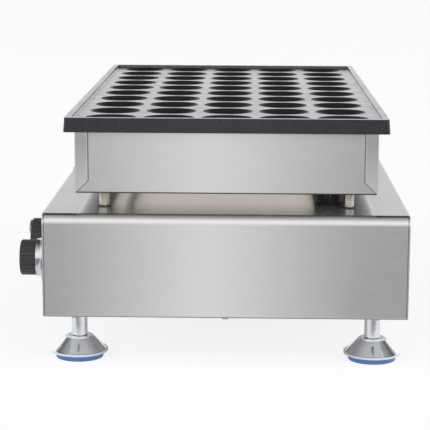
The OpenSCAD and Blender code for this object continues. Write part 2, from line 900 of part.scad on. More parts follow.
// Control body behind the panel, with a boss through it and a bore for the spindle
module control_body(size, l) {
    difference() {
        union() {
            translate([0, 0, -sheet - l]) block(size, size, l);
            translate([0, 0, -sheet]) cylinder(h = sheet + boss_h, d = boss_d);
        }
        translate([0, 0, -spindle_in - face_gap])
            cylinder(h = spindle_in + face_gap + boss_h + over, d = spindle_d + 2 * run_gap);
        for (s = [-1, 1]) {
            translate([s * control_screw_spread / 2, 0, -sheet - thread_depth - face_gap])
                cylinder(h = thread_depth + face_gap + over, d = control_screw_d + hole_gap);
        }
    }
}

module thermostat_body_right() {
    color("whitesmoke") placed() from_front(zone_knob_x, control_z)
        control_body(thermostat_size, thermostat_l);
}

module thermostat_body_left() {
    color("whitesmoke") placed() from_front(-zone_knob_x, control_z)
        control_body(thermostat_size, thermostat_l);
}

module timer_body() {
    color("whitesmoke") placed() from_front(timer_x, control_z)
        control_body(timer_size, timer_body_l);
}

module control_screws() {
    color("gray") placed() for (x = [zone_knob_x, -zone_knob_x, timer_x]) {
        from_front(x, control_z) for (s = [-1, 1]) {
            translate([s * control_screw_spread / 2, 0, 0]) {
                cylinder(h = control_head_h, d = control_head_d);
                translate([0, 0, -sheet - thread_depth])
                    cylinder(h = sheet + thread_depth, d = control_screw_d);
            }
        }
    }
}

// Round spindle with a flat on the part that carries the knob
module spindle() {
    flat = flat_share * spindle_d;
    difference() {
        translate([0, 0, -spindle_in]) cylinder(h = spindle_in + spindle_out, d = spindle_d);
        translate([-spindle_d / 2, spindle_d / 2 - flat, knob_gap + boss_h])
            cube([spindle_d, spindle_d, spindle_out]);
    }
}

// Bore of a knob that fits the spindle and its flat
module spindle_bore(z0) {
    flat = flat_share * spindle_d;
    difference() {
        translate([0, 0, z0]) cylinder(h = spindle_out + face_gap - z0, d = spindle_d + 2 * run_gap);
        translate([-spindle_d, spindle_d / 2 - flat + run_gap, z0 - over])
            cube([2 * spindle_d, spindle_d, spindle_out + 2 * over]);
    }
}

module thermostat_spindle_right() {
    color("gray") placed() from_front(zone_knob_x, control_z) spindle();
}

module thermostat_spindle_left() {
    color("gray") placed() from_front(-zone_knob_x, control_z) spindle();
}

module timer_spindle() {
    color("gray") placed() from_front(timer_x, control_z) spindle();
}

// Ribbed cylinder with a broken front edge
module fluted(d, l, flutes) {
    difference() {
        union() {
            cylinder(h = l - grip_cap, d = d);
            translate([0, 0, l - grip_cap]) cylinder(h = grip_cap, d1 = d, d2 = d - 2 * grip_cap);
        }
        for (k = [0 : flutes - 1]) {
            rotate([0, 0, k * 360 / flutes]) translate([d / 2 + flute_out_share * flute_r, 0, -over])
                cylinder(h = l + 2 * over, r = flute_r, $fn = 16);
        }
    }
}

module thermostat_grip() {
    foot = knob_gap + skirt_h;
    difference() {
        translate([0, 0, foot]) fluted(grip_d, grip_l, grip_flutes);
        spindle_bore(foot - over);
    }
}

module knob_grip_right() {
    color("dimgray") placed() from_front(zone_knob_x, control_z) thermostat_grip();
}

module knob_grip_left() {
    color("dimgray") placed() from_front(-zone_knob_x, control_z) thermostat_grip();
}

// Flared skirt between the panel and the grip, hollow underneath
module thermostat_skirt() {
    flare_h = skirt_h - skirt_rim;
    neck_d = grip_d + 2 * grip_cap;
    flare_w = (skirt_d - neck_d) / 2;
    translate([0, 0, knob_gap]) difference() {
        union() {
            cylinder(h = skirt_rim, d = skirt_d);
            translate([0, 0, skirt_rim]) difference() {
                cylinder(h = flare_h, d = skirt_d);
                rotate_extrude() translate([skirt_d / 2, flare_h])
                    scale([flare_w, flare_w]) circle(r = 1);
                translate([0, 0, flare_w]) cylinder(h = skirt_h, d = skirt_d + over);
            }
        }
        translate([0, 0, -over]) cylinder(h = skirt_rim - skirt_wall + over, d = skirt_d - 2 * skirt_wall);
        translate([0, 0, -over]) cylinder(h = skirt_h + 2 * over, d = skirt_bore_d);
    }
}

module knob_skirt_right() {
    color("lightgray") placed() from_front(zone_knob_x, control_z) thermostat_skirt();
}

module knob_skirt_left() {
    color("lightgray") placed() from_front(-zone_knob_x, control_z) thermostat_skirt();
}

module timer_knob_grip() {
    color("dimgray") placed() from_front(timer_x, control_z) difference() {
        translate([0, 0, knob_gap]) fluted(timer_d, timer_l - ring_t, timer_flutes);
        translate([0, 0, knob_gap - over])
            cylinder(h = boss_h + control_head_h + over, d = control_screw_spread + 2 * control_head_d);
        spindle_bore(knob_gap - over);
    }
}

module timer_knob_ring() {
    outer_d = timer_d - 2 * grip_cap;
    color("lightgray") placed() from_front(timer_x, control_z)
        translate([0, 0, knob_gap + timer_l - ring_t]) difference() {
            cylinder(h = ring_t, d = outer_d);
            translate([0, 0, -over]) cylinder(h = ring_t + 2 * over, d = outer_d - 2 * ring_w);
        }
}

module switch_frame() {
    body_h = switch_frame_h - 2 * bezel_lip;
    cavity_r = rocker_r + face_gap;
    color("dimgray") placed() from_front(0, control_z) {
        difference() {
            union() {
                block(switch_w + 2 * bezel_lip, switch_frame_h, bezel_t);
                translate([0, 0, -switch_body_l]) block(switch_w, body_h, switch_body_l);
            }
            translate([-rocker_w / 2 - face_gap, 0, -rocker_pivot_in]) rotate([0, 90, 0])
                cylinder(h = rocker_w + 2 * face_gap, r = cavity_r);
            translate([0, 0, -rocker_pivot_in])
                block(rocker_w + 2 * face_gap, 2 * cavity_r, rocker_pivot_in + bezel_t + over);
            pin_l = rocker_w + 2 * rocker_pin_l + 2 * face_gap;
            translate([-pin_l / 2, 0, -rocker_pivot_in]) rotate([0, 90, 0])
                cylinder(h = pin_l, d = rocker_pin_d + 2 * run_gap);
        }
        for (k = [-1, 0, 1]) {
            translate([0, k * body_h / 3, -switch_body_l - contact_l]) block(contact_w, contact_t, contact_l);
        }
    }
}

// Rocker as a cut of a round bar: its face is a shallow V that the tilt brings level
module rocker() {
    edge = rocker_r;
    rise = edge * tan(rocker_tilt);
    intersection() {
        translate([-rocker_w / 2, 0, 0]) rotate([0, 90, 0]) cylinder(h = rocker_w, r = rocker_r);
        translate([-rocker_w, 0, 0]) rotate([90, 0, 90]) linear_extrude(height = 2 * rocker_w)
            polygon([
                [-edge, -rocker_back], [edge, -rocker_back],
                [edge, rocker_dip + rise], [0, rocker_dip], [-edge, rocker_dip + rise]
            ]);
    }
    translate([-rocker_w / 2 - rocker_pin_l, 0, 0]) rotate([0, 90, 0])
        cylinder(h = rocker_w + 2 * rocker_pin_l, d = rocker_pin_d);
}

module switch_rocker() {
    color("black") placed() from_front(0, control_z)
        translate([0, 0, -rocker_pivot_in]) rotate([rocker_tilt, 0, 0]) rocker();
}

module indicator_lenses() {
    color("orange") placed() for (s = [-1, 1]) {
        from_front(s * lamp_x, control_z) {
            cylinder(h = lamp_bezel_h, d = lamp_bezel_d);
            translate([0, 0, lamp_bezel_h]) intersection() {
                ball_r = (lamp_d * lamp_d / 4 + lamp_dome_h * lamp_dome_h) / (2 * lamp_dome_h);
                translate([0, 0, lamp_dome_h - ball_r]) sphere(r = ball_r);
                cylinder(h = lamp_dome_h, d = lamp_d);
            }
        }
    }
}

module indicator_bodies() {
    color("black") placed() for (s = [-1, 1]) {
        from_front(s * lamp_x, control_z) {
            translate([0, 0, -lamp_body_l]) cylinder(h = lamp_body_l, d = lamp_d);
            for (k = [-1, 1]) {
                translate([k * lamp_d / 4, 0, -lamp_body_l - contact_l]) block(contact_t, contact_w / 2, contact_l);
            }
        }
    }
}

module terminal_block() {
    l = terminal_ways * terminal_pitch;
    color("ivory") placed() translate([gland_x, terminal_y, floor_top]) difference() {
        block(l, terminal_w, terminal_h);
        for (k = [0 : terminal_ways - 1]) {
            translate([(k - (terminal_ways - 1) / 2) * terminal_pitch, 0, terminal_h / 2]) {
                for (s = [-1, 1]) {
                    translate([0, s * terminal_w / 4, 0])
                        cylinder(h = terminal_h, d = terminal_pitch / 2);
                }
            }
        }
    }
}

module cable_gland() {
    color("dimgray") placed() translate([gland_x, panel_face, gland_z]) rotate([-90, 0, 0]) difference() {
        union() {
            hex(gland_hex_d, gland_hex_h);
            translate([0, 0, gland_hex_h]) cylinder(h = gland_dome_h, d1 = gland_dome_d, d2 = gland_tip_share * gland_dome_d);
            translate([0, 0, -gland_inside]) cylinder(h = gland_inside, d = gland_thread_d);
        }
        translate([0, 0, -gland_inside - over])
            cylinder(h = gland_inside + gland_hex_h + gland_dome_h + 2 * over, d = gland_bore_d);
    }
}

module gland_locknut() {
    color("dimgray") placed() translate([gland_x, panel_face - sheet, gland_z]) rotate([90, 0, 0])
        difference() {
            hex(locknut_d, locknut_h);
            translate([0, 0, -over]) cylinder(h = locknut_h + 2 * over, d = gland_thread_d + 2 * run_gap);
        }
}

module foot_nuts() {
    color("gray") placed() translate([0, 0, floor_top]) at_feet() difference() {
        cylinder(h = foot_nut_h, d = foot_nut_d);
        translate([0, 0, -over]) cylinder(h = foot_nut_h + 2 * over, d = stud_d + 2 * run_gap);
    }
}

// Chrome cone, hollow underneath, with a bush that carries the leg's pivot
module foot_cone() {
    r = foot_d / 2;
    shoulder_r = cone_shoulder_d / 2;
    slope_h = cone_h - cone_shoulder_h - cone_lip_h;
    hollow_h = cone_h - cone_lip_h - cone_wall;
    bush_r = pivot_d / 2 + boss_wall;
    difference() {
        union() {
            cylinder(h = cone_lip_h, r = r);
            translate([0, 0, cone_lip_h]) cylinder(h = slope_h, r1 = r - cone_wall, r2 = shoulder_r + cone_wall);
            translate([0, 0, cone_lip_h + slope_h]) cylinder(h = cone_shoulder_h, r = shoulder_r);
        }
        difference() {
            union() {
                translate([0, 0, -over]) cylinder(h = cone_lip_h + over, r = r - 2 * cone_wall);
                translate([0, 0, cone_lip_h])
                    cylinder(h = hollow_h, r1 = r - 3 * cone_wall, r2 = shoulder_r - cone_wall);
            }
            translate([0, 0, cone_h - pivot_bush_l]) cylinder(h = pivot_bush_l, r = bush_r);
        }
        translate([0, 0, -over]) cylinder(h = cone_h + 2 * over, d = pivot_d + 2 * run_gap);
    }
}

// Rubber pad under the cone, plugged up inside its rim
module foot_pad() {
    difference() {
        union() {
            cylinder(h = pad_show, d1 = pad_foot_share * pad_d, d2 = pad_d);
            translate([0, 0, pad_show]) cylinder(h = pad_plug_h, d = foot_d - 4 * cone_wall - 2 * hole_gap);
        }
        translate([0, 0, pad_show]) cylinder(h = pad_plug_h + over, d = foot_d - 4 * cone_wall - 2 * pad_ring);
    }
}

// Leg with its threaded stud above and its pivot and retaining head below
module foot_leg() {
    top = floor_z - face_gap;
    translate([0, 0, leg_z + face_gap]) cylinder(h = top - leg_z - face_gap, d = leg_d);
    translate([0, 0, top]) cylinder(h = stud_l, d = stud_d);
    head_top = leg_z - pivot_bush_l - face_gap;
    translate([0, 0, head_top - pivot_head_h]) cylinder(h = pivot_head_h, d = pivot_head_d);
    translate([0, 0, head_top]) cylinder(h = leg_z + face_gap - head_top, d = pivot_d);
}

module foot_cone_front_right() {
    color("silver") placed() translate([foot_x, -foot_y, cone_z]) foot_cone();
}

module foot_cone_front_left() {
    color("silver") placed() translate([-foot_x, -foot_y, cone_z]) foot_cone();
}

module foot_cone_rear_right() {
    color("silver") placed() translate([foot_x, foot_y, cone_z]) foot_cone();
}

module foot_cone_rear_left() {
    color("silver") placed() translate([-foot_x, foot_y, cone_z]) foot_cone();
}

module foot_pad_front_right() {
    color("steelblue") placed() translate([foot_x, -foot_y, 0]) foot_pad();
}

module foot_pad_front_left() {
    color("steelblue") placed() translate([-foot_x, -foot_y, 0]) foot_pad();
}

module foot_pad_rear_right() {
    color("steelblue") placed() translate([foot_x, foot_y, 0]) foot_pad();
}

module foot_pad_rear_left() {
    color("steelblue") placed() translate([-foot_x, foot_y, 0]) foot_pad();
}

module foot_leg_front_right() {
    color("silver") placed() translate([foot_x, -foot_y, 0]) foot_leg();
}

module foot_leg_front_left() {
    color("silver") placed() translate([-foot_x, -foot_y, 0]) foot_leg();
}

module foot_leg_rear_right() {
    color("silver") placed() translate([foot_x, foot_y, 0]) foot_leg();
}

module foot_leg_rear_left() {
    color("silver") placed() translate([-foot_x, foot_y, 0]) foot_leg();
}

baking_plate();
heater_box();
insulation_blanket();
heat_reflector();
heating_element_right();
heating_element_left();
element_insulators();
element_clamps();
clamp_screws();
plate_screws();
thermostat_bulb_right();
thermostat_bulb_left();
support_posts();
post_washers();
post_bolts();
post_nuts();
lead_sleeves();
sleeve_grommets();
casing_cover();
front_panel();
rear_panel();
bottom_plate();
bottom_screws();
bottom_nuts();
thermostat_body_right();
thermostat_body_left();
timer_body();
control_screws();
thermostat_spindle_right();
thermostat_spindle_left();
timer_spindle();
knob_grip_right();
knob_grip_left();
knob_skirt_right();
knob_skirt_left();
timer_knob_grip();
timer_knob_ring();
switch_frame();
switch_rocker();
indicator_lenses();
indicator_bodies();
terminal_block();
cable_gland();
gland_locknut();
foot_nuts();
foot_cone_front_right();
foot_cone_front_left();
foot_cone_rear_right();
foot_cone_rear_left();
foot_pad_front_right();
foot_pad_front_left();
foot_pad_rear_right();
foot_pad_rear_left();
foot_leg_front_right();
foot_leg_front_left();
foot_leg_rear_right();
foot_leg_rear_left();
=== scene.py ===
# %% [markdown]
# # A poffertjes maker in cast iron grey and brushed steel
#
# The machine's solids are already modelled and packed, so this script never moves them. It loads
# them as a fixed frame and adds what solids can't show: finishes, threads, braid, dials and light.
# Everything is in metres, with +X towards the near end in the picture, -Y out of the control panel
# and +Z up.

# %% Load the fixed frame
import json
import math

import bpy
from mathutils import Matrix, Vector


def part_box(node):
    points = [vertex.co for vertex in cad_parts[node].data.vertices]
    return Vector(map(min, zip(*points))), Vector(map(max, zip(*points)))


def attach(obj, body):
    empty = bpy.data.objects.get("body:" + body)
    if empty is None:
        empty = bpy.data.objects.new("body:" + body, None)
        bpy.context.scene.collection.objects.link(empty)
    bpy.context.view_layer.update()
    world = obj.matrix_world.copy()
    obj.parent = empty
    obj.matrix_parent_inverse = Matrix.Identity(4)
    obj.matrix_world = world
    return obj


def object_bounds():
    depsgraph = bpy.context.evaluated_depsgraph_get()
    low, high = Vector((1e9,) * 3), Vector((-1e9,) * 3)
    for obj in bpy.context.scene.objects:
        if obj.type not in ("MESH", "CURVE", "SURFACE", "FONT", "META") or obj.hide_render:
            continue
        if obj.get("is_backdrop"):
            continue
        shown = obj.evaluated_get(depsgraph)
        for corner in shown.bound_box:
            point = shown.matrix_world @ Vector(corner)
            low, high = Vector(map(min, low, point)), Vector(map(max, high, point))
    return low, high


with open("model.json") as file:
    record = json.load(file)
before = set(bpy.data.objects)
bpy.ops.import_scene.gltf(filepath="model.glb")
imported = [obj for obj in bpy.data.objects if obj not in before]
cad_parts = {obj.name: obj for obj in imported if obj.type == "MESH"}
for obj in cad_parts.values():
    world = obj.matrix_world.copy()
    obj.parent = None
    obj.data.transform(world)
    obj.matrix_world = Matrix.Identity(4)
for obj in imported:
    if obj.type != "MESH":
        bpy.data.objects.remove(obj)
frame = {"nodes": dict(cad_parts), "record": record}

MM = 0.001
cad_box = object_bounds()
print("CAD box:", [tuple(round(c, 4) for c in corner) for corner in cad_box])

# %% [markdown]
# ## The camera
#
# The picture was taken from beyond the short end, a little above the plate, with a long lens. The
# camera's place and turn were worked out from the regular grid of dimples: a grid of known pitch
# fixes the distance, the height and the lens together. The turn is written as three simple turns,
# heading, tilt and roll, because these can be read and changed one by one.

# %% Camera
CAMERA_PLACE = Vector((1.5755, 0.0199, 0.3788))
HEADING, TILT, ROLL = math.radians(91.196), math.radians(79.470), math.radians(0.259)
FOCAL_PIXELS, IMAGE_PIXELS, SENSOR = 1574.2, 430, 36.0

lens = bpy.data.cameras.new("portrait_lens")
lens.sensor_width = SENSOR
lens.lens = SENSOR * FOCAL_PIXELS / IMAGE_PIXELS
camera = bpy.data.objects.new("portrait_camera", lens)
camera.matrix_world = (Matrix.Translation(CAMERA_PLACE) @ Matrix.Rotation(HEADING, 4, "Z")
                       @ Matrix.Rotation(TILT, 4, "X") @ Matrix.Rotation(ROLL, 4, "Z"))
bpy.context.scene.collection.objects.link(camera)
bpy.context.scene.camera = camera
bpy.context.scene.view_settings.view_transform = "Standard"
print("lens:", round(lens.lens, 1), "mm")

# %% [markdown]
# ## Where a solid's middle is
#
# Many pieces are placed by the middle of a solid, so one helper gives it.

# %% Centre helper
def centre(node):
    low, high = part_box(node)
    return (Vector(low) + Vector(high)) / 2

# %% [markdown]
# ## A helper for node trees
#
# Materials, the world and geometry trees are all made of nodes and links. One small function adds
# a node, sets its options, and fills each input with either a plain value or another node's
# output. A few shorter ones stand for the sums that come up again and again. That keeps every tree
# below readable from top to bottom.

# %% Node helper
def add(tree, kind, inputs=None, **options):
    node = tree.nodes.new(kind)
    for name, value in options.items():
        setattr(node, name, value)
    for key, value in (inputs or {}).items():
        if isinstance(value, bpy.types.NodeSocket):
            tree.links.new(value, node.inputs[key])
        else:
            node.inputs[key].default_value = value
    return node


def maths(tree, operation, a, b=0.0, c=0.0):
    return add(tree, "ShaderNodeMath", {0: a, 1: b, 2: c}, operation=operation).outputs[0]


def product(tree, a, b):
    return maths(tree, "MULTIPLY", a, b)


def apart(tree, a, b):
    return maths(tree, "ABSOLUTE", maths(tree, "SUBTRACT", a, b))


def scaled(tree, vector, factor):
    return add(tree, "ShaderNodeVectorMath", {0: vector, "Scale": factor}, operation="SCALE").outputs[0]


def split(tree, vector):
    return add(tree, "ShaderNodeSeparateXYZ", {0: vector}).outputs


def remap(tree, value, low, high, to_low=0.0, to_high=1.0, curve="SMOOTHSTEP"):
    node = add(tree, "ShaderNodeMapRange", {"Value": value, "From Min": low, "From Max": high,
                                            "To Min": to_low, "To Max": to_high})
    node.interpolation_type = curve
    return node.outputs["Result"]


def mixed(tree, factor, a, b):
    return add(tree, "ShaderNodeMix", {"Factor": factor, "A": a, "B": b}).outputs[0]

# %% [markdown]
# ## The studio
#
# Metal shows its surroundings, so the room matters more than the lamps. This one is a pale tent.
# The wall is white round the back. In front it is brightest straight ahead of the machine and falls
# off evenly to grey on either side. Above the wall a bright canopy hangs over the front only, and
# the roof is dark. So brushed steel gets a bright middle and darker sides, and a bend shows a dark
# line above a bright one. A picture of a room would do it too, but a few steps over the direction
# are plain and repeatable. Each pair of angles below says where one tone starts to give way to the
# next, and where it has done so.

# %% World
STRIP, FLAT, WALL, CANOPY, ROOF = 0.99, 0.39, 1.24, 1.30, 0.10
LANE_HEADING, LANE_SPREAD = -0.026, 0.10
TO_WALL, TO_BACK = (0.60, 1.00), (0.9, 2.2)
TO_CANOPY, TO_FRONT_ROOF, TO_BACK_ROOF = (0.0, 0.16), (0.55, 1.25), (0.24, 0.60)

world = bpy.data.worlds.new("studio_tent")
bpy.context.scene.world = world
world.use_nodes = True
sky = world.node_tree
sky.nodes.clear()
parts = split(sky, add(sky, "ShaderNodeTexCoord").outputs["Generated"])
heading = maths(sky, "ARCTAN2", parts["Y"], parts["X"])
height = maths(sky, "ARCSINE", parts["Z"])
off_axis = maths(sky, "ABSOLUTE", heading)

strip = remap(sky, apart(sky, heading, LANE_HEADING), 0.0, LANE_SPREAD, STRIP, FLAT, "LINEAR")
wall = mixed(sky, remap(sky, off_axis, *TO_WALL), strip, WALL)
front = mixed(sky, remap(sky, height, *TO_CANOPY), wall, CANOPY)
front = mixed(sky, remap(sky, height, *TO_FRONT_ROOF, curve="LINEAR"), front, ROOF)
back = mixed(sky, remap(sky, height, *TO_BACK_ROOF), wall, ROOF)
level = mixed(sky, remap(sky, off_axis, *TO_BACK), front, back)
backing = add(sky, "ShaderNodeBackground", {"Color": (1.0, 1.0, 1.0, 1.0), "Strength": level})
add(sky, "ShaderNodeOutputWorld", {"Surface": backing.outputs[0]})
print("world:", world.name, len(sky.nodes), "nodes")

# %% [markdown]
# ## The floor
#
# A pale floor carries the machine's soft shadow. A white background would need far too much light on
# it, so the floor has a glow of its own, which only the camera, mirror-like finishes and clear
# finishes see. The light that it throws on the machine stays plain. In front of the machine a painted
# fall of light is laid over it, a grey tone that fans out from the middle. It is there only for
# reflections: steel near the floor looks down into the floor, so the fall of light across the tent
# has to go on there. A glow has no shade under the machine, so painted shade is laid in there for the
# reflections too. It draws the dark sides that chrome legs have. A noise hardly ever leaves the range
# from 0.3 to 0.7, so here and in every finish that range is spread over the tones that are wanted.

# %% Floor
FLOOR_HALF = 30.0
GLOW, PAPER, SEEN_PAPER = 0.805, 0.80, 0.28
AHEAD_X, FAN_X, FAN_Y = (0.28, 0.36), -1.05, 0.02
UNDER_X, UNDER_Y, UNDER_TONE = (0.20, 0.29), (0.10, 0.17), 0.50
CLOUD_SCALE, CLOUD_TONE, NOISE_SPAN = 60.0, 0.98, (0.3, 0.7)

floor_mesh = bpy.data.meshes.new("floor")
floor_mesh.from_pydata([(-FLOOR_HALF, -FLOOR_HALF, 0), (FLOOR_HALF, -FLOOR_HALF, 0),
                        (FLOOR_HALF, FLOOR_HALF, 0), (-FLOOR_HALF, FLOOR_HALF, 0)], [], [(0, 1, 2, 3)])
floor = bpy.data.objects.new("floor", floor_mesh)
bpy.context.scene.collection.objects.link(floor)
floor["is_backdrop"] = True

paper = bpy.data.materials.new("white_paper")
paper.use_nodes = True
tree = paper.node_tree
tree.nodes.clear()
rays = add(tree, "ShaderNodeLightPath").outputs
seen = maths(tree, "MAXIMUM", maths(tree, "MAXIMUM", rays["Is Camera Ray"], rays["Is Glossy Ray"]),
             rays["Is Transmission Ray"])
spot = split(tree, add(tree, "ShaderNodeTexCoord").outputs["Object"])
fan = maths(tree, "ARCTAN2", maths(tree, "SUBTRACT", spot["Y"], FAN_Y),
            maths(tree, "SUBTRACT", spot["X"], FAN_X))
# Painted fall of light, seen only in reflections.
light_fall = remap(tree, apart(tree, fan, LANE_HEADING), 0.0, LANE_SPREAD, STRIP, FLAT, "LINEAR")
ahead = remap(tree, spot["X"], *AHEAD_X)
tone = mixed(tree, product(tree, ahead, rays["Is Glossy Ray"]), 1.0, light_fall)
# Painted shade under the machine, seen only in reflections.
under = product(tree, remap(tree, maths(tree, "ABSOLUTE", spot["X"]), *UNDER_X, 1.0, 0.0),
                remap(tree, maths(tree, "ABSOLUTE", spot["Y"]), *UNDER_Y, 1.0, 0.0))
tone = mixed(tree, product(tree, under, rays["Is Glossy Ray"]), tone, UNDER_TONE)
cloud = add(tree, "ShaderNodeTexNoise", {"Scale": CLOUD_SCALE, "Detail": 3.0}).outputs["Fac"]
cloud = remap(tree, cloud, *NOISE_SPAN, CLOUD_TONE, 1.0)
albedo = product(tree, product(tree, mixed(tree, seen, PAPER, SEEN_PAPER), tone), cloud)
shade = add(tree, "ShaderNodeCombineColor", {0: albedo, 1: albedo, 2: albedo}).outputs[0]
matt = add(tree, "ShaderNodeBsdfDiffuse", {"Color": shade})
strength = product(tree, product(tree, seen, GLOW), tone)
glow = add(tree, "ShaderNodeEmission", {"Color": (1, 1, 1, 1), "Strength": strength})
both = add(tree, "ShaderNodeAddShader", {0: matt.outputs[0], 1: glow.outputs[0]})
add(tree, "ShaderNodeOutputMaterial", {"Surface": both.outputs[0]})
floor_mesh.materials.append(paper)
print("floor:", len(tree.nodes), "nodes in", paper.name)

# %% [markdown]
# ## The lamps
#
# One large softbox hangs above and in front of the machine. It tips the balance of the tent's light,
# so that upper faces are brighter than side faces. The others are very weak and fill the gap under
# the heater box. Light there bounces between two bright sheets many times, more than a renderer
# follows, and without them the gap would turn black. They are long strips, each given by its two
# edges and its watts per square metre. The space between the first two makes a dark streak beside
# the posts, and the third brightens the middle.

# %% Lamps
FILL_STRIPS = [(-0.101, -0.090, 1.50), (-0.082, 0.080, 1.35), (-0.068, 0.072, 1.15)]
FILL_LENGTH, FILL_DROP, FILL_COLOUR = 0.40, 1.0 * MM, (1.0, 0.92, 0.83)


def softbox(name, place, target, size, watts):
    light = bpy.data.lights.new(name, "AREA")
    light.shape, light.size, light.size_y, light.energy = "RECTANGLE", size[0], size[1], watts
    lamp = bpy.data.objects.new(name, light)
    aim = (Vector(target) - Vector(place)).to_track_quat("-Z", "Y")
    lamp.matrix_world = Matrix.Translation(place) @ aim.to_matrix().to_4x4()
    lamp.visible_camera = False
    bpy.context.scene.collection.objects.link(lamp)
    return lamp


softbox("overhead_softbox", place=(1.0, 0.2, 2.4), target=(0, 0, 0.1), size=(3.0, 3.0), watts=10.0)
gap_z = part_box("heater_box")[0].z - FILL_DROP
for i, (side_low, side_high, watts_per_area) in enumerate(FILL_STRIPS):
    middle, width = (side_low + side_high) / 2, side_high - side_low
    fill = softbox("gap_fill_%d" % i, place=(0, middle, gap_z), target=(0, middle, 0),
                   size=(FILL_LENGTH, width), watts=watts_per_area * FILL_LENGTH * width)
    fill.data.color = FILL_COLOUR
print("lamps:", 1 + len(FILL_STRIPS))

# %% [markdown]
# ## Finishes: the common part
#
# Most finishes share a skeleton: a main shader, one fine noise for grain and one broad noise for
# wear and handling marks. The noise reads Object coordinates, so it keeps its real size on every
# piece. The Bevel node rounds the shading of sharp edges by a few tenths of a millimetre, as a
# tumbled or deburred edge is, and it needs no change to the solid.

# %% Finish helpers
FINISHES = {}


def start(name, metallic=0.0, edge=0.35 * MM):
    material = bpy.data.materials.new(name)
    material.use_nodes = True
    tree = material.node_tree
    tree.nodes.clear()
    shader = add(tree, "ShaderNodeBsdfPrincipled", {"Metallic": metallic})
    add(tree, "ShaderNodeOutputMaterial", {"Surface": shader.outputs[0]})
    place = add(tree, "ShaderNodeTexCoord").outputs["Object"]
    rounded = add(tree, "ShaderNodeBevel", {"Radius": edge}, samples=4).outputs[0]
    FINISHES[name] = material
    return tree, shader, place, rounded


def noise(tree, place, size, stretch=(1, 1, 1), detail=4, rough=0.55):
    finer = add(tree, "ShaderNodeMapping", {"Vector": place, "Scale": [s / size for s in stretch]})
    return add(tree, "ShaderNodeTexNoise", {"Vector": finer.outputs[0], "Scale": 1.0, "Detail": detail,
                                            "Roughness": rough}).outputs["Fac"]


def tint(tree, factor, dark, light):
    return add(tree, "ShaderNodeMix", {"Factor": factor, 6: (*dark, 1.0), 7: (*light, 1.0)},
               data_type="RGBA").outputs[2]


def bump(tree, height, depth, normal):
    return add(tree, "ShaderNodeBump", {"Height": height, "Distance": depth, "Strength": 1.0,
                                        "Normal": normal}).outputs[0]


def normals(tree):
    return split(tree, add(tree, "ShaderNodeNewGeometry").outputs["Normal"])


def wire(tree, shader, **inputs):
    for name, socket in inputs.items():
        tree.links.new(socket, shader.inputs[name.replace("_", " ")])

# %% [markdown]
# ## Folds, seams and edges
#
# The heater box is folded, and tabs of its long walls lap over its end walls. The solid has these
# tabs, but their edges are only a sheet thick. So the finish draws what makes them readable: their
# grain is upright, and a fine dark seam follows the edge and the mitre at the foot, which is partly
# dirt in the lapped seam and partly painted shade. The rest of it is painted light: a painted
# highlight along the tabs' rims, a painted gradient that is brighter towards the foot and dimmer
# towards the top under the plate's overhang, and a painted dark line along the box's foot for the
# fold that reflects the dark underside. On the casing it paints a dark reflection where the top
# turns down, and a painted dark reflection along the sheet's deburred edges and foot. Each mask is
# worked out from a point's distance to the sheet's sides and foot, and from the way that its face
# looks.

# %% Fold masks
# The seam tone is dirt and painted shade. The tabs' rims carry a painted highlight and the tabs a
# painted gradient of light; the casing's line tone paints dark reflections.
TAB_WIDTH, SEAM, SEAM_DIRT_SHADE_TONE, RIM_HIGHLIGHT_WIDTH, RIM_HIGHLIGHT_TONE = 11 * MM, 0.7 * MM, 0.12, 1.1 * MM, 1.25
TAB_LIGHT_RISE, TAB_LIGHT_TONE = (8 * MM, 45 * MM), (1.34, 0.98)
BEND_RADIUS, BEND_LINE, EDGE_LINE, FOOT_LINE = 8 * MM, 1.1 * MM, 0.7 * MM, 1.6 * MM
DARK_REFLECTION_TONE, TURNING, WALL_FACING, FOLD_FACING = 0.32, (0.6, 0.8), 0.7, 0.15


def from_edges(tree, spot, node):
    low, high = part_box(node)
    from_side = maths(tree, "SUBTRACT", (high.y - low.y) / 2, apart(tree, spot["Y"], centre(node).y))
    return from_side, maths(tree, "SUBTRACT", spot["Z"], low.z)


def faces_end(tree, facing, least):
    return maths(tree, "GREATER_THAN", maths(tree, "ABSOLUTE", facing["X"]), least)


def tab_masks(tree, spot, facing):
    from_side, rise = from_edges(tree, spot, "heater_box")
    inside = maths(tree, "MINIMUM", maths(tree, "SUBTRACT", TAB_WIDTH, from_side),
                   maths(tree, "SUBTRACT", rise, from_side))
    end_wall = faces_end(tree, facing, WALL_FACING)
    on_tab = product(tree, maths(tree, "GREATER_THAN", inside, 0.0), end_wall)
    # The seam: dirt and painted shade in the lap.
    on_seam = product(tree, remap(tree, apart(tree, inside, -SEAM / 2), 0.0, SEAM, 1.0, 0.0), end_wall)
    # Painted dark reflection along the foot of the box.
    on_foot_reflection = product(tree, remap(tree, rise, SEAM, 2 * SEAM, 1.0, 0.0),
                      faces_end(tree, facing, FOLD_FACING))
    dark = maths(tree, "MAXIMUM", on_seam, on_foot_reflection)
    # Painted light: brighter towards the foot, dimmer towards the top.
    tab_light = remap(tree, rise, *TAB_LIGHT_RISE, *TAB_LIGHT_TONE, "LINEAR")
    # Painted highlight along the tabs' rims.
    rim_highlight = remap(tree, maths(tree, "MINIMUM", inside, from_side), RIM_HIGHLIGHT_WIDTH / 2, RIM_HIGHLIGHT_WIDTH, RIM_HIGHLIGHT_TONE, 1.0)
    tone = mixed(tree, on_tab, 1.0, product(tree, tab_light, rim_highlight))
    return on_tab, product(tree, tone, remap(tree, dark, 0.0, 1.0, 1.0, SEAM_DIRT_SHADE_TONE, "LINEAR"))


